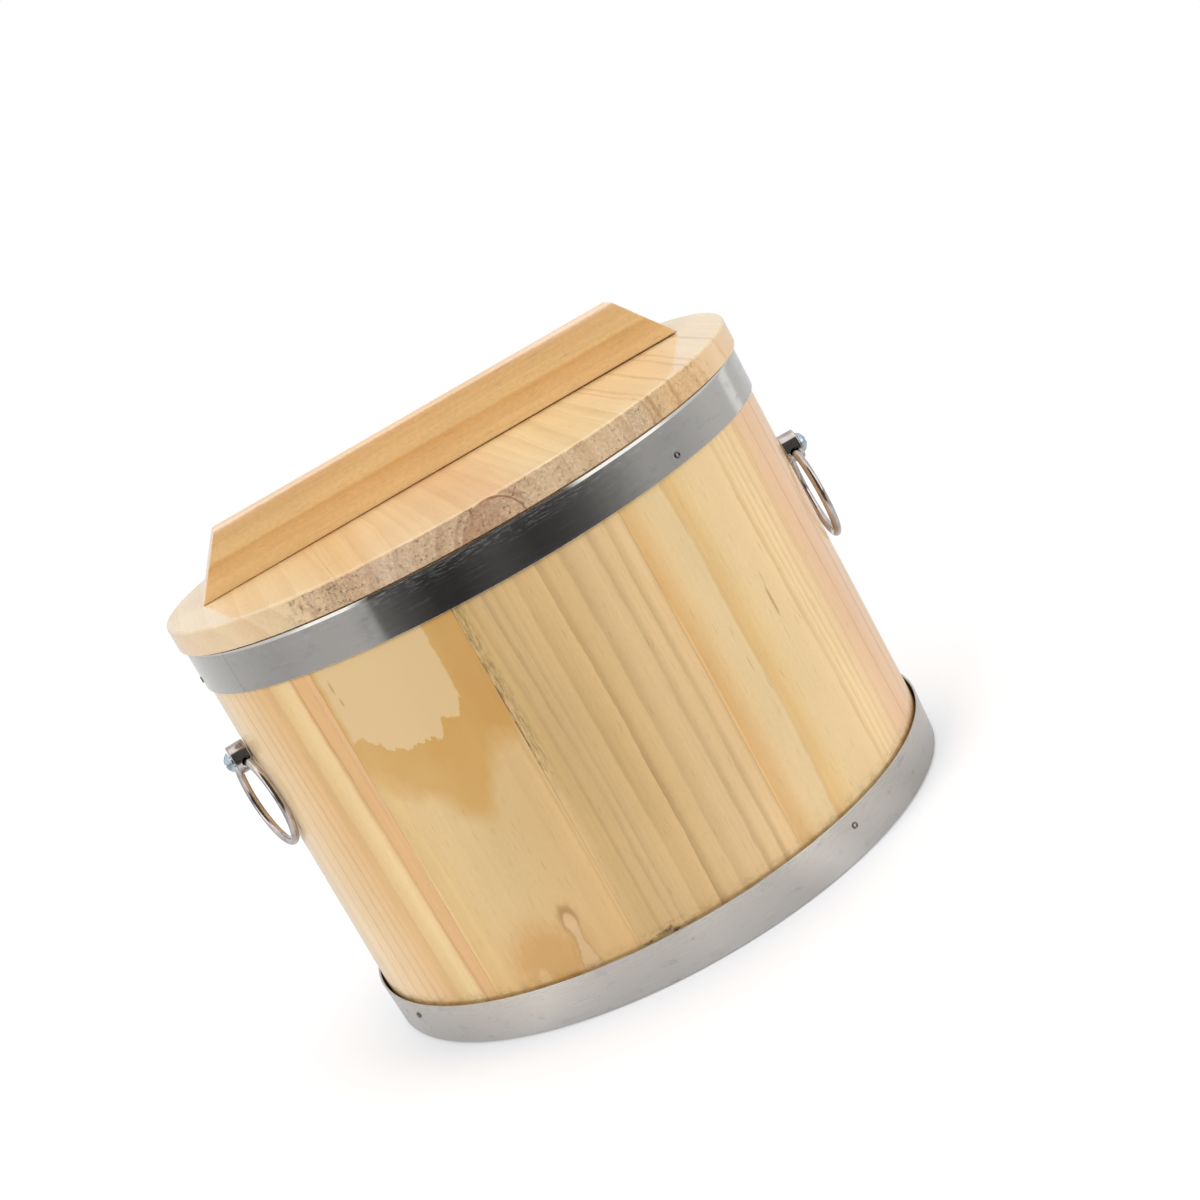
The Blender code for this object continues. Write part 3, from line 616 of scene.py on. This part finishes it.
# %% Stave finishes
STAVE_LOOKS = {
    1: dict(
        tones=[(0, "f3cd97"), (20, "f2d9ae"), (34, "eeca93"), (46, "e5be87"), (54, "dfb272"),
               (60, "dfbd7f"), (65, "f1d49a"), (67, "d9a66a"), (70, "e4b679"), (73, "dfaf7a")],
        rings=[(24, 0.2), (30, 0), (31, 0.25), (36.2, 0), (37.2, 0.35), (41.9, 0), (42.9, 0.35), (45.7, 0),
               (46.7, 0.35), (49.5, 0), (50.4, 0.25), (57, 0.3), (65.8, 0), (67, 0.6), (68.5, 0),
               (71.8, 0.15)],
        heart=(-160, 70), lean=0.035, wave=0.5, late="a86f38", figure=0.4, streaks=0.02, slot="pink_pine",
    ),
    2: dict(
        tones=[(0, "e2be7e"), (5, "e0bd7d"), (12, "e1c189"), (22, "dabb83"), (33, "d6b47d"), (38, "d6b37a"),
               (45, "ddb87d")],
        rings=[(1.0, 0.25), (6.5, 0.1), (37.5, 0.12), (43.8, 0.25)],
        heart=(150, 40), wave=0.7, figure=0.35, streaks=0.015, slot="amber_pine",
    ),
    3: dict(
        tones=[(0, "dbb87f"), (3, "c7a569"), (8, "d0ad78"), (15, "ceac76"), (20, "dbb77d"), (26, "d6b279"),
               (36, "d7b785"), (49, "e5c088")],
        rings=[(0.4, 0.15), (3, 0), (5.6, 0.3), (7.2, 0), (9.6, 0.4), (10.8, 0), (12.3, 0.35), (13.6, 0),
               (18.3, 0.38), (23.8, 0), (24.2, 0.6), (27, 0), (30.2, 0.4), (33.5, 0), (38.2, 0.42),
               (40.4, 0), (43.5, 0.4), (45.2, 0), (48.2, 0.2)],
        heart=(-240, 60), wave=0.55, sharp=-1, late="95703e", figure=0.5, streaks=0.03, slot="pale_pine",
    ),
    4: dict(
        tones=[(0, "e3b97b"), (3, "dcb679"), (8, "e4c48f"), (14, "e0c492"), (16, "e8c786"), (19, "e1bc7a"),
               (24, "e7c892"), (34, "e7c691"), (42, "f5d49a"), (46, "eecd96"), (53, "e9c188")],
        rings=[(0.3, 0.4), (6.5, 0), (15.1, 0.55), (19.8, 0), (38.1, 0.45), (40.3, 0), (40.9, 0.35),
               (42.2, 0), (43.4, 0.35), (45, 0), (46.4, 0.35), (48, 0), (50.5, 0.3)],
        heart=(-220, 40), wave=0.7, sharp=-1, late="c58a40", figure=0.3, streaks=0.012, slot="pale_pine",
    ),
    5: dict(
        tones=[(0, "e6be8d"), (2, "e6bb88"), (8, "e2b283"), (20, "ebc08e"), (40, "e5c192"), (67, "ebca8f")],
        rings=[(7, 0), (8, 0.5), (17.6, 0), (18.8, 0.5), (25, 0), (26, 0.4), (34, 0), (35.5, 0.35),
               (43, 0.4), (50, 0), (52, 0.3), (60, 0.4)],
        heart=(-200, 60), wave=0.4, lean=0.03, late="a4683f", figure=0.35, streaks=0.015, slot="pink_pine",
    ),
}
BACK_LOOKS = [("pale_pine", "e5c792", "dcb87f"), ("amber_pine", "dfb981", "d6a968")]
for number in range(6, 11):
    slot, light, dark = BACK_LOOKS[number % 2]
    width = math.radians(back_sweep) * FOOT_RADIUS
    gaps = [3.2 + 2.2 * math.sin(number * 2.3 + count * 1.7) for count in range(13)]
    places = [sum(gaps[: count + 1]) * (width - 2) / sum(gaps) for count in range(13)]
    STAVE_LOOKS[number] = dict(
        tones=[(width * step / 6, light if (step + number) % 2 else dark) for step in range(7)],
        rings=[(place, 0.35 + 0.2 * math.sin(place * number)) for place in places],
        heart=((-200, 60) if number % 2 else (width / 2 + 6, 20)), wave=0.8, slot=slot,
    )
staves = {}
for number, look in sorted(STAVE_LOOKS.items()):
    look = dict(look)
    slot = look.pop("slot")
    start, end = STAVE_JOINTS[number - 1], STAVE_JOINTS[number]
    middle, half = (start + end) / 2, math.radians(end - start) / 2 * FOOT_RADIUS
    board = pine(f"lacquered pine, stave {number}", partial(stave_coordinates, middle=middle),
                 (-half, half), FOOT_RADIUS, "Z", seed=number, **look)
    board.skin = add(board.tree, "MapRange", [board.deep, FOOT_RADIUS - 0.8, FOOT_RADIUS - 0.5])
    make_stave(number, board)
    staves[number] = board

# %% [markdown]
# ## Marks on the front staves
#
# The second stave has a pale patch under the hoop where the lacquer ran thick, an amber stain of resin
# round it that fades out downwards, and near its foot a run of lacquer, shaped like a drop with a neck,
# with painted shade along its sides. The middle stave has grey dirt along its left edge, and all have a
# little dirt where they meet the lower hoop, above a thin line of painted shade at the hoop's edge.

# %% Marks on the second stave
board = staves[2]
stain = [(0, 80.5), (6, 77), (12.7, 73), (20.3, 66.5), (25.3, 61.5), (29, 62), (33, 72), (37, 77.5),
         (45, 80)]
stain = above(board, stain, 2.2, 5.0, (0.13, 0.1, 0.0))
put(board, "cb9b4f", stain, board.stretch(board.noise((0.05, 0.04, 0.0), 2.0), 0.65, 1.0))
put(board, "c3904a", stain, part(board, board.arc, 33.0, 40.0, 0.4))
patch = [(0.2, 91), (4, 93), (8, 89.6), (11.5, 87.5), (15.6, 85.5), (19, 86.5), (26, 85), (28.5, 89.5),
         (33, 89), (35, 92)]
rough = board.stretch(board.noise((0.1, 0.2, 0.0), 3.0), -0.5, 0.5)
edge = add(board.tree, "Math", [board.arc, rough], "ADD")
put(board, "dbbc89", above(board, patch, 1.3, 0.25), part(board, edge, 36.0, 35.4),
    part(board, edge, 0.3, 2.2), 0.9)
put(board, "d3a35c", part(board, board.along, 45.0, 14.0, 0.3))
for place, size, tone, amount in (
    ((20.5, 18), (10, 11), "c7934b", 0.75),
    ((4.3, 108), (0.35, 1.8), "9a7440", 0.5),
    ((4.9, 103.5), (0.3, 1.2), "9a7440", 0.5),
    ((31.1, 22), (3.4, 9), "bf8f4e", 0.4),
    ((16.9, 14.6), (1.6, 2.2), "e0c08a", 0.5),
    ((31.2, 28.4), (2.3, 3.2), "9c6f3a", 0.65),
):
    put(board, tone, oval(board, place, size), amount)
# The run of lacquer: half its width in cm changes up the drop
share = part(board, board.along, 12.0, 30.0)
half = ramp(board.tree, share, [
    (0.0, 0.28), (0.14, 0.24), (0.3, 0.17), (0.5, 0.13), (0.68, 0.13), (0.8, 0.14), (0.9, 0.0)])
middle = board.stretch(board.noise((0.3, 0.2, 0.0), 3.0), 30.5, 31.7)
side = add(board.tree, "Math", [board.arc, middle], "SUBTRACT")
side = add(board.tree, "Math", [side], "ABSOLUTE")
side = add(board.tree, "Math", [half, 10.0, add(board.tree, "Math", [side, -1.0], "MULTIPLY")],
           "MULTIPLY_ADD")
under = part(board, board.along, 28.0, 26.5)
# The dark band along the run's sides is painted shade at its raised edges.
put(board, "96703e", part(board, side, -0.9, 0.1, 0.3), under)
put(board, "d6b281", part(board, side, -0.15, 0.35, 0.85), under)
put(board, "d8b481", oval(board, (31.1, 26.6), (1.55, 2.5), 0.1, 0.25), 0.9)
print("second stave marked")

# %% Marks on the other front staves
board = staves[3]
fray = board.stretch(board.noise((1.6, 0.25, 0.0), 4.0, 0.7), 0.0, 1.0, 0.42, 0.62)
upper = part(board, board.along, 56.0, 76.0, 0.85)
put(board, "8d7448", part(board, board.arc, 3.6, 1.6), fray, upper)
put(board, "5f4a2c", part(board, board.arc, 0.5, 0.15), fray, upper)
put(board, "e3c593", oval(board, (47.5, 103), (1.1, 9.0), 0.2, 0.3), 0.5)
put(staves[4], "a8763c", oval(staves[4], (29.6, 70), (0.45, 4.5), 0.1, 0.3), 0.6)
for number in (1, 2, 3, 4, 5):
    board = staves[number]
    height = board.along
    dirt = board.stretch(board.noise((0.35, 0.5, 0.0), 4.0, 0.65), 0.0, 1.0, 0.46, 0.6)
    put(board, "94652e", dirt, part(board, height, 16.0, 12.8, 0.35))
    # A thin even line just above the hoop's edge: painted shade where the wall meets the hoop.
    put(board, "8a6c40", part(board, height, 13.3, 12.7, 0.35))
    if number == 3:
        put(board, "4a3b26", dirt, part(board, height, 15.6, 13.2), part(board, board.arc, 16.0, 9.0))
print("front staves marked")

# %% [markdown]
# ## The bottom boards and the pins
#
# Three boards lie in the groove, and bamboo pins keep the stave joints level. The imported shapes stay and
# only get their finish. The bottom boards are the same pine, with the grain running from front to back.


# %% Bottom boards and pins
def dress(node, material):
    """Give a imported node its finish."""
    node.data.materials.clear()
    node.data.materials.append(material)


for number in (1, 2, 3):
    node = frame["nodes"][f"bottom_board_{number}"]
    low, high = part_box(node.name)
    places = [3.0 + 5.0 * count + 1.5 * math.sin(count * 2.1 + number) for count in range(10)]
    board = pine(f"lacquered pine, bottom board {number}", board_coordinates,
                 (low.x / MM, high.x / MM), high.z / MM, "Y",
                 [(0, "e3c594"), (20, "dcb981"), (38, "e4c897"), (55, "dab47a")],
                 [(place, 0.45) for place in places], (27.0 - 20.0 * number, 60.0), seed=20 + number,
                 coat=0.4, gloss=0.3)
    dress(node, board.material)
material, tree, shader = new_material("split bamboo pin", {"Roughness": 0.6})
place = add(tree, "TexCoord").outputs["Object"]
strand = stretched_noise(tree, place, (1500.0, 1500.0, 4000.0), 2.0)
plug(shader, "Base Color", ramp(tree, strand, [(0.3, "b99a5c"), (0.7, "d8c084")]))
for name, node in frame["nodes"].items():
    if name.startswith("stave_pin"):
        dress(node, material)
print("bottom boards and pins finished")

# %% [markdown]
# ## The lid boards
#
# The lid is three flat boards turned to a disc, with a step below that drops into the mouth. So it is made
# as one disc and sawn by planes into its boards. A thicker clear lacquer than on the staves makes it mirror
# the handle.

# %% Lid boards
LID_RADIUS, LID_LOW, LID_TOP, STEP_LOW, STEP_RADIUS = 90.0, 126.8, 134.4, 122.8, 78.19
LID_JOINTS = [-43.8, 39.4]
LID_LOOKS = {
    "left": dict(
        tones=[(0, "e2cba6"), (16, "e4cea8"), (22, "dfbf92"), (28, "e2caa0"), (40, "dfc192"),
               (47, "d8b480")],
        rings=[(4.5, 0.3), (12.5, 0.35), (20.8, 0.45), (28.0, 0.3), (35.5, 0.4), (44.6, 0.35)],
        heart=(-60, 90)),
    "middle": dict(
        tones=[(0, "dfc090"), (6, "dab178"), (14, "e2c79c"), (28, "ddbd8f"), (38, "d6ae82"), (46, "dab286"),
               (54, "e1c698"), (64, "e5cc9c"), (74, "dfc18c"), (83, "e3ca9b")],
        rings=[(3, 0.3), (8.5, 0.3), (15, 0.3), (24, 0.3), (44.5, 0.55), (51.8, 0.4), (58, 0.35),
               (63.1, 0.6), (70.1, 0.6), (77, 0.35), (81.1, 0.7)],
        heart=(39.5, 124.6)),
    "right": dict(
        tones=[(0, "e3c99b"), (8, "dfbe8e"), (15, "e2c698"), (22, "dcb888"), (30, "e4cca6"), (40, "e0c49a"),
               (51, "e2cca8")],
        rings=[(4.0, 0), (5, 0.8), (5.8, 0), (6.9, 0.9), (14, 0), (15.1, 1.0), (22, 0), (23.3, 0.7),
               (24.9, 0), (26.1, 0.8), (35.6, 0), (36.9, 0.9)], heart=(-50, 118)),
}


def lid_disc():
    """Turn the whole lid from its outline, with an eased rim."""
    bm = bmesh.new()
    points = [(0.0, STEP_LOW), (STEP_RADIUS, STEP_LOW), (STEP_RADIUS, LID_LOW), (LID_RADIUS, LID_LOW),
              (LID_RADIUS, LID_TOP), (LID_RADIUS - 3.0, LID_TOP), (0.0, LID_TOP)]
    corner = outline(bm, points).verts[points.index((LID_RADIUS, LID_TOP))]
    ease(bm, [corner], 0.9, 4, "VERTICES")
    corners = [vert for vert in bm.verts if vert.co.z < (LID_LOW + 0.01) * MM and -vert.co.y > MM]
    ease(bm, corners, 0.4, 2, "VERTICES")
    turn_solid(bm, ROUND_STEPS)
    bmesh.ops.remove_doubles(bm, verts=bm.verts[:], dist=SAME_SPOT)
    return bm


def saw(bm, place, keep):
    """Cut at a distance across the lid in mm, keep one side and close the cut. Gives the cut's edges."""
    cut = bmesh.ops.bisect_plane(
        bm, geom=bm.verts[:] + bm.edges[:] + bm.faces[:], dist=1e-7, plane_co=(place * MM, 0, 0),
        plane_no=(keep, 0, 0), clear_inner=True)
    rim = pick(cut["geom_cut"], bmesh.types.BMEdge)
    bmesh.ops.edgenet_fill(bm, edges=rim)
    return rim


lid_edges = [-LID_RADIUS] + LID_JOINTS + [LID_RADIUS]
for (side, look), low, high in zip(LID_LOOKS.items(), lid_edges, lid_edges[1:]):
    bm = lid_disc()
    rims = saw(bm, low + HAIRLINE, 1) if low > -LID_RADIUS else []
    rims += saw(bm, high - HAIRLINE, -1) if high < LID_RADIUS else []
    ease(bm, [edge for edge in rims if edge.is_valid], 0.04, 1)
    board = pine(f"lacquered pine, {side} lid board", board_coordinates, (low, high), LID_TOP, "Y",
                 seed=30 + low / 10, wave=0.6, coat=0.62, gloss=0.09, figure=0.5, faint=0.6, speckle=0.035,
                 end_from=0.66 if side == "right" else 0.77, late="b07a45", **look)
    level = add(board.tree, "SeparateXYZ", [add(board.tree, "TexCoord").outputs["Normal"]]).outputs["Z"]
    outside = part(board, level, 0.6, 0.2)
    place = board.across
    if side == "left":
        put(board, "f2cc9c", outside, part(board, place, 28.0, 4.0, 0.5))
    elif side == "right":
        put(board, "f3bd74", outside, part(board, place, 0.0, 14.0, 0.42))
    else:
        put(board, "ead0b4", outside, part(board, place, 5.0, 11.0), part(board, place, 22.0, 15.0, 0.3))
        put(board, "f2d2a4", outside, part(board, place, 48.0, 54.0, 0.28))
        fading = add(board.tree, "MapRange", [place, 36.0, 44.0, 0.75, 0.3])
        mottled = board.stretch(board.pore, 0.5, 1.0)
        put(board, "a07350", part(board, board.reach, 9.6, 9.2), fading, mottled)
        rim = add(board.tree, "Math", [board.reach, 9.45, 0.28], "COMPARE")
        put(board, "8f5833", rim, part(board, place, 33.0, 41.0, 0.7))
    publish(bm, f"pine_lid_board_{side}", board.material, "lid", [f"lid_board_{side}"])

# %% [markdown]
# ## The handle
#
# The handle is a batten with sloping ends, screwed on from below, and its left end sits a little closer to
# the lid. It was sanded and left almost bare, so it is matt and warmer than the lid. Two growth rings run
# along its side as broad bands, darker at the top. Its top face and its left sloped end are painted pale
# pink-white: a painted sheen on the top and a painted highlight on the end that faces the key light.

# %% Handle
HANDLE_LOW, HANDLE_TOP, HANDLE_WIDTH, HANDLE_HALF = 134.7, 151.6, 10.2, 78.0
HANDLE_SLOPE, HANDLE_SAG = 13.1, 0.25
bm = bmesh.new()
bmesh.ops.create_cube(bm, size=1.0)
bmesh.ops.scale(bm, vec=(2 * HANDLE_HALF * MM, HANDLE_WIDTH * MM, (HANDLE_TOP - HANDLE_LOW) * MM),
                verts=bm.verts[:])
bmesh.ops.translate(bm, vec=(0.0, 0.0, (HANDLE_TOP + HANDLE_LOW) / 2 * MM), verts=bm.verts[:])
for vert in bm.verts:
    if vert.co.z > (HANDLE_TOP - 1.0) * MM:
        vert.co.x -= math.copysign(HANDLE_SLOPE * MM, vert.co.x)
    elif vert.co.x < 0:
        vert.co.z -= HANDLE_SAG * MM
ease(bm, bm.edges[:], 0.45, 3)
# The last tone, at the handle's top, is pale pink-white: a painted sheen on its top face.
handle = pine("sanded pine handle", lambda tree: board_coordinates(tree, "Z", "X", "Y"),
              (HANDLE_LOW, HANDLE_TOP), -HANDLE_WIDTH / 2, "X",
              [(0.0, "d6ad74"), (1.2, "dfbb83"), (4.5, "dcb67e"), (7.0, "d2a96f"), (8.0, "cfa467"),
               (8.7, "dbb983"), (11.0, "d9b680"), (14.0, "d4af7a"), (15.6, "d3ac76"), (16.9, "e8cdb0")],
              [(7.9, 0.25), (16.2, 0.12)], (-30.0, 60.0), late="b9793a", wave=0.35, seed=3.0, coat=0.0,
              rough_end=0.4, end_from=0.5, pits=0.25, speckle=0.055)
# The left sloped end is laid pale: a painted highlight where it faces the key light.
put(handle, "ecdccb", handle.end, part(handle, handle.along, 0.0, -1.0, 0.75))
publish(bm, "pine_lid_handle", handle.material, "lid", ["lid_handle"])

# %% [markdown]
# ## The hoops
#
# Each hoop is a strip of stainless steel, welded into a ring and driven on. It is lightly brushed along its
# length, so it mirrors the studio in long soft shapes, with fine lines and a few scratches along it.
# Stainless steel is a grey metal with a reflectance of about 0.6.


# %% Steel finish
def steel(name, tone, low, high, top, nails, seam):
    """Make a brushed steel strip between two roughnesses, dented at its nails, with a weld at an angle."""
    material, tree, shader = new_material(name)
    across, along, deep = stave_coordinates(tree, 0.0)
    spot = add(tree, "CombineXYZ", {"X": across, "Y": along, "Z": deep})
    noise = partial(stretched_noise, tree, spot)
    line = noise((0.015, 3.0, 0.0), 2.0)
    smear = noise((0.06, 0.02, 0.0), 3.0)
    smudge = noise((0.12, 0.3, 0.0), 4.0, 0.6)
    grain = add(tree, "Math", [line, smear], "ADD")
    rough = add(tree, "MapRange", [grain, 0.75, 1.25, low, high])
    scratch = add(tree, "MapRange", [noise((0.05, 5.0, 0.0), 1.0), 0.63, 0.73, 0.0, 0.08])
    worn = add(tree, "MapRange", [smudge, 0.56, 0.72, 0.0, 0.12])
    rough = add(tree, "Math", [rough, scratch], "ADD")
    rough = add(tree, "Math", [rough, worn], "ADD")
    # A dull film where the lid rubs, and along the scratches
    rubbed = add(tree, "MapRange", [along, top - 5.0, top - 0.5])
    patchy = add(tree, "MapRange", [noise((0.3, 1.8, 0.0), 4.0, 0.65), 0.5, 0.64, 0.0, 0.24])
    film = add(tree, "Math", [patchy, rubbed], "MULTIPLY")
    film = add(tree, "Math", [scratch, 1.6, film], "MULTIPLY_ADD")
    plug(shader, "Metallic", add(tree, "Math", [1.0, film], "SUBTRACT"))
    height = add(tree, "Math", [smear, 0.12], "MULTIPLY")
    for angle, level_mm in nails:
        gap = add(tree, "VectorMath", [spot, (math.radians(angle) * FOOT_RADIUS, level_mm, 0.0)],
                  "SUBTRACT")
        gap = add(tree, "VectorMath", [gap, (1.0, 1.0, 0.0)], "MULTIPLY")
        gap = add(tree, "VectorMath", [gap], "LENGTH")
        dent = add(tree, "MapRange", [gap, 0.9, 2.4, -0.05, 0.0], interpolation_type="SMOOTHSTEP")
        height = add(tree, "Math", [height, dent], "ADD")
    base = add(tree, "MapRange", [worn, 0.0, 0.12, 1.01, 0.88])
    tint = add(tree, "VectorMath", [colour(tone)[:3], base], "SCALE")
    gap = add(tree, "Math", [across, math.radians(seam) * FOOT_RADIUS], "SUBTRACT")
    gap = add(tree, "Math", [gap], "ABSOLUTE")
    bead = add(tree, "MapRange", [gap, 0.1, 0.5, -0.015, 0.0])
    height = add(tree, "Math", [height, bead], "ADD")
    burn = add(tree, "MapRange", [gap, 0.1, 0.6, 0.85, 1.0])
    tint = add(tree, "VectorMath", [tint, burn], "SCALE")
    rise = add(tree, "Bump", {"Height": height, "Strength": 1.0, "Distance": 0.001})
    plug(shader, "Normal", rise)
    plug(shader, "Roughness", rough)
    plug(shader, "Base Color", tint)
    return material


# %% Hoops
HOOP_HEIGHT, HOOP_THICKNESS, HOOP_CLEARANCE = 12.3, 0.6, 0.3
HOOPS = {
    "top": dict(low=BODY_HEIGHT - 0.2 - HOOP_HEIGHT, flare=0.1, turned=0.2, nail=2.8,
                angles=(-86.6, 32.3, 152.4), seam=-62.4),
    "bottom": dict(low=0.3, flare=0.6, turned=0.0, nail=HOOP_HEIGHT - 4.2, angles=(-69.6, 27.9, 155.5),
                   seam=-118.0),
}


def hoop_radius(hoop, height):
    """Radius of a hoop's outer face at a height."""
    share = (height - hoop["low"]) / HOOP_HEIGHT
    foot = wall_radius(hoop["low"]) + HOOP_CLEARANCE + HOOP_THICKNESS
    head = wall_radius(hoop["low"] + HOOP_HEIGHT) + HOOP_CLEARANCE + hoop["flare"] + HOOP_THICKNESS
    return foot + (head - foot) * share


for place, hoop in HOOPS.items():
    low, high = hoop["low"], hoop["low"] + HOOP_HEIGHT
    level_mm = low + hoop["nail"]
    roughness = (0.05, 0.13) if place == "top" else (0.14, 0.26)
    finish = steel(f"brushed stainless strip, {place} hoop", "cac7c2", *roughness, high,
                   [(angle, level_mm) for angle in hoop["angles"]], hoop["seam"])
    bm = bmesh.new()
    foot, head = hoop_radius(hoop, low), hoop_radius(hoop, high)
    turned = [(head, high - 1.0), (head - 0.35 * hoop["turned"], high - 0.5)] if hoop["turned"] else []
    outline(bm, [(foot, low), *turned, (head - hoop["turned"], high), (head - HOOP_THICKNESS, high),
                 (foot - HOOP_THICKNESS - 0.25, low)])
    ease(bm, bm.verts[:], 0.12, 2, "VERTICES")
    spin(bm, 360.0, ROUND_STEPS)
    publish(bm, f"steel_hoop_{place}", finish, "tub", [f"hoop_{place}"], sharp=50.0)

# %% [markdown]
# ## The nails
#
# A small nail goes through each hoop into a stave at three places. The punch that set it left a round
# hollow in its head, which looks dark in the middle with a bright rim; the nail's steel is painted dark
# all over as shade for that dark middle.

# %% Nails
# The steel is painted dark all over: painted shade for the dark hollow in the nail's head.
material, tree, shader = new_material("drawn steel nail", {"Metallic": 1.0, "Roughness": 0.35})
place = add(tree, "TexCoord").outputs["Object"]
mottle = add(tree, "TexNoise", {"Vector": place, "Scale": 2500.0, "Detail": 3.0})
plug(shader, "Base Color", ramp(tree, mottle, [(0.3, "55534f"), (0.7, "9b9993")]))
NAIL_POINTS = [(0.0, -0.25), (0.35, -0.22), (0.58, 0.02), (0.72, 0.16), (0.86, 0.14), (0.95, 0.0),
               (0.95, -0.3), (0.55, -0.3), (0.55, -9.0), (0.0, -10.2)]
for place, hoop in HOOPS.items():
    level_mm = hoop["low"] + hoop["nail"]
    for number, angle in enumerate(hoop["angles"], start=1):
        bm = bmesh.new()
        outline(bm, NAIL_POINTS)
        turn_solid(bm, 32)
        seat = direction(angle) * (hoop_radius(hoop, level_mm) + HOOP_CLEARANCE / 2)
        turn = direction(angle).to_track_quat("Z", "Y").to_matrix().to_4x4()
        bmesh.ops.transform(bm, matrix=Matrix.Translation((seat + UP * level_mm) * MM) @ turn,
                            verts=bm.verts[:])
        publish(bm, f"steel_nail_{place}_{number}", material, "tub", [f"hoop_nail_{place}_{number}"])

# %% [markdown]
# ## The ring pulls
#
# A pull is a short turned post, held on by a dome-head screw, with a ring of spring wire whose two ends
# turn in a hole across the post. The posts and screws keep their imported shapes: a copy of each is merged
# and shaded smooth. The ring is bent anew with more steps, by spinning a wire's round section.


# %% Metal finishes of the pulls
def plated(name, light, dark, roughness, scale):
    """Make a bright plated metal whose tone and gloss change a little over a few millimetres."""
    material, tree, shader = new_material(name, {"Metallic": 1.0})
    place = add(tree, "TexCoord").outputs["Object"]
    cloud = add(tree, "TexNoise", {"Vector": place, "Scale": scale, "Detail": 3.0})
    plug(shader, "Base Color", ramp(tree, cloud, [(0.35, dark), (0.65, light)]))
    spread = add(tree, "MapRange", [cloud, 0.3, 0.7, roughness * 1.3, roughness * 0.8])
    plug(shader, "Roughness", spread)
    return material


nickel = plated("polished nickel plate", "cfc7c3", "b5aba6", 0.09, 300.0)
zinc = plated("bright zinc plate", "c8d5db", "a3b3bd", 0.2, 500.0)


def smooth_copy(node_name, name, material, body):
    """Stand a merged, smooth-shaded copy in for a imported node."""
    bm = bmesh.new()
    bm.from_mesh(frame["nodes"][node_name].data)
    bmesh.ops.remove_doubles(bm, verts=bm.verts[:], dist=SAME_SPOT)
    bmesh.ops.dissolve_limit(bm, angle_limit=math.radians(0.5), verts=bm.verts[:], edges=bm.edges[:])
    publish(bm, name, material, body, [node_name], sharp=38.0)


for side in ("left", "right"):
    smooth_copy(f"pull_post_{side}", f"nickel_post_{side}", nickel, "tub")
    smooth_copy(f"pull_screw_{side}", f"zinc_dome_screw_{side}", zinc, "tub")
for number in (1, 2, 3):
    smooth_copy(f"handle_screw_{number}", f"zinc_lid_screw_{number}", zinc, "lid")

# %% Rings
RING_RADIUS, WIRE_RADIUS, RING_BEND, PIVOT_END = 14.0, 1.2, 5.4, 2.3
for side, angle in (("left", -74.0), ("right", 84.0)):
    joint = next(joint for joint in frame["joints"] if joint["name"] == f"ring_{side}_swing")
    opening = math.asin(RING_BEND / RING_RADIUS)
    drop = RING_RADIUS * math.cos(opening)
    bm = bmesh.new()
    bmesh.ops.create_circle(bm, segments=20, radius=WIRE_RADIUS * MM)
    bmesh.ops.translate(bm, vec=(0.0, RING_RADIUS * MM, 0.0), verts=bm.verts[:])
    bmesh.ops.rotate(bm, cent=(0, 0, 0), matrix=Matrix.Rotation(math.radians(90.0) - opening, 3, "X"),
                     verts=bm.verts[:])
    first = bm.edges[:]
    last = spin(bm, 2 * math.degrees(opening) - 360.0, 96, axis=(1, 0, 0))
    bmesh.ops.translate(bm, vec=(0.0, 0.0, -drop * MM), verts=bm.verts[:])
    for rim, hand in ((first, 1.0), (pick(last, bmesh.types.BMEdge), -1.0)):
        end = bmesh.ops.extrude_edge_only(bm, edges=rim)["geom"]
        verts = pick(end, bmesh.types.BMVert)
        centre = sum((vert.co for vert in verts), Vector()) / len(verts)
        bmesh.ops.rotate(bm, cent=centre, matrix=Matrix.Rotation(hand * opening, 3, "X"), verts=verts)
        bmesh.ops.translate(bm, vec=(0.0, hand * PIVOT_END * MM - centre.y, -centre.z), verts=verts)
        bmesh.ops.edgenet_fill(bm, edges=pick(end, bmesh.types.BMEdge))
    turn = Matrix.Rotation(math.radians(angle - 90.0), 4, "Z")
    bmesh.ops.transform(bm, matrix=Matrix.Translation(Vector(joint["pos_m"])) @ turn, verts=bm.verts[:])
    publish(bm, f"nickel_ring_{side}", nickel, f"ring_{side}", [f"pull_ring_{side}"])

# %% [markdown]
# ## Colour and hand-over
#
# The view transform is Standard, so colours show as written.

# %% Finish
bpy.context.scene.view_settings.view_transform = "Standard"
bpy.context.view_layer.update()
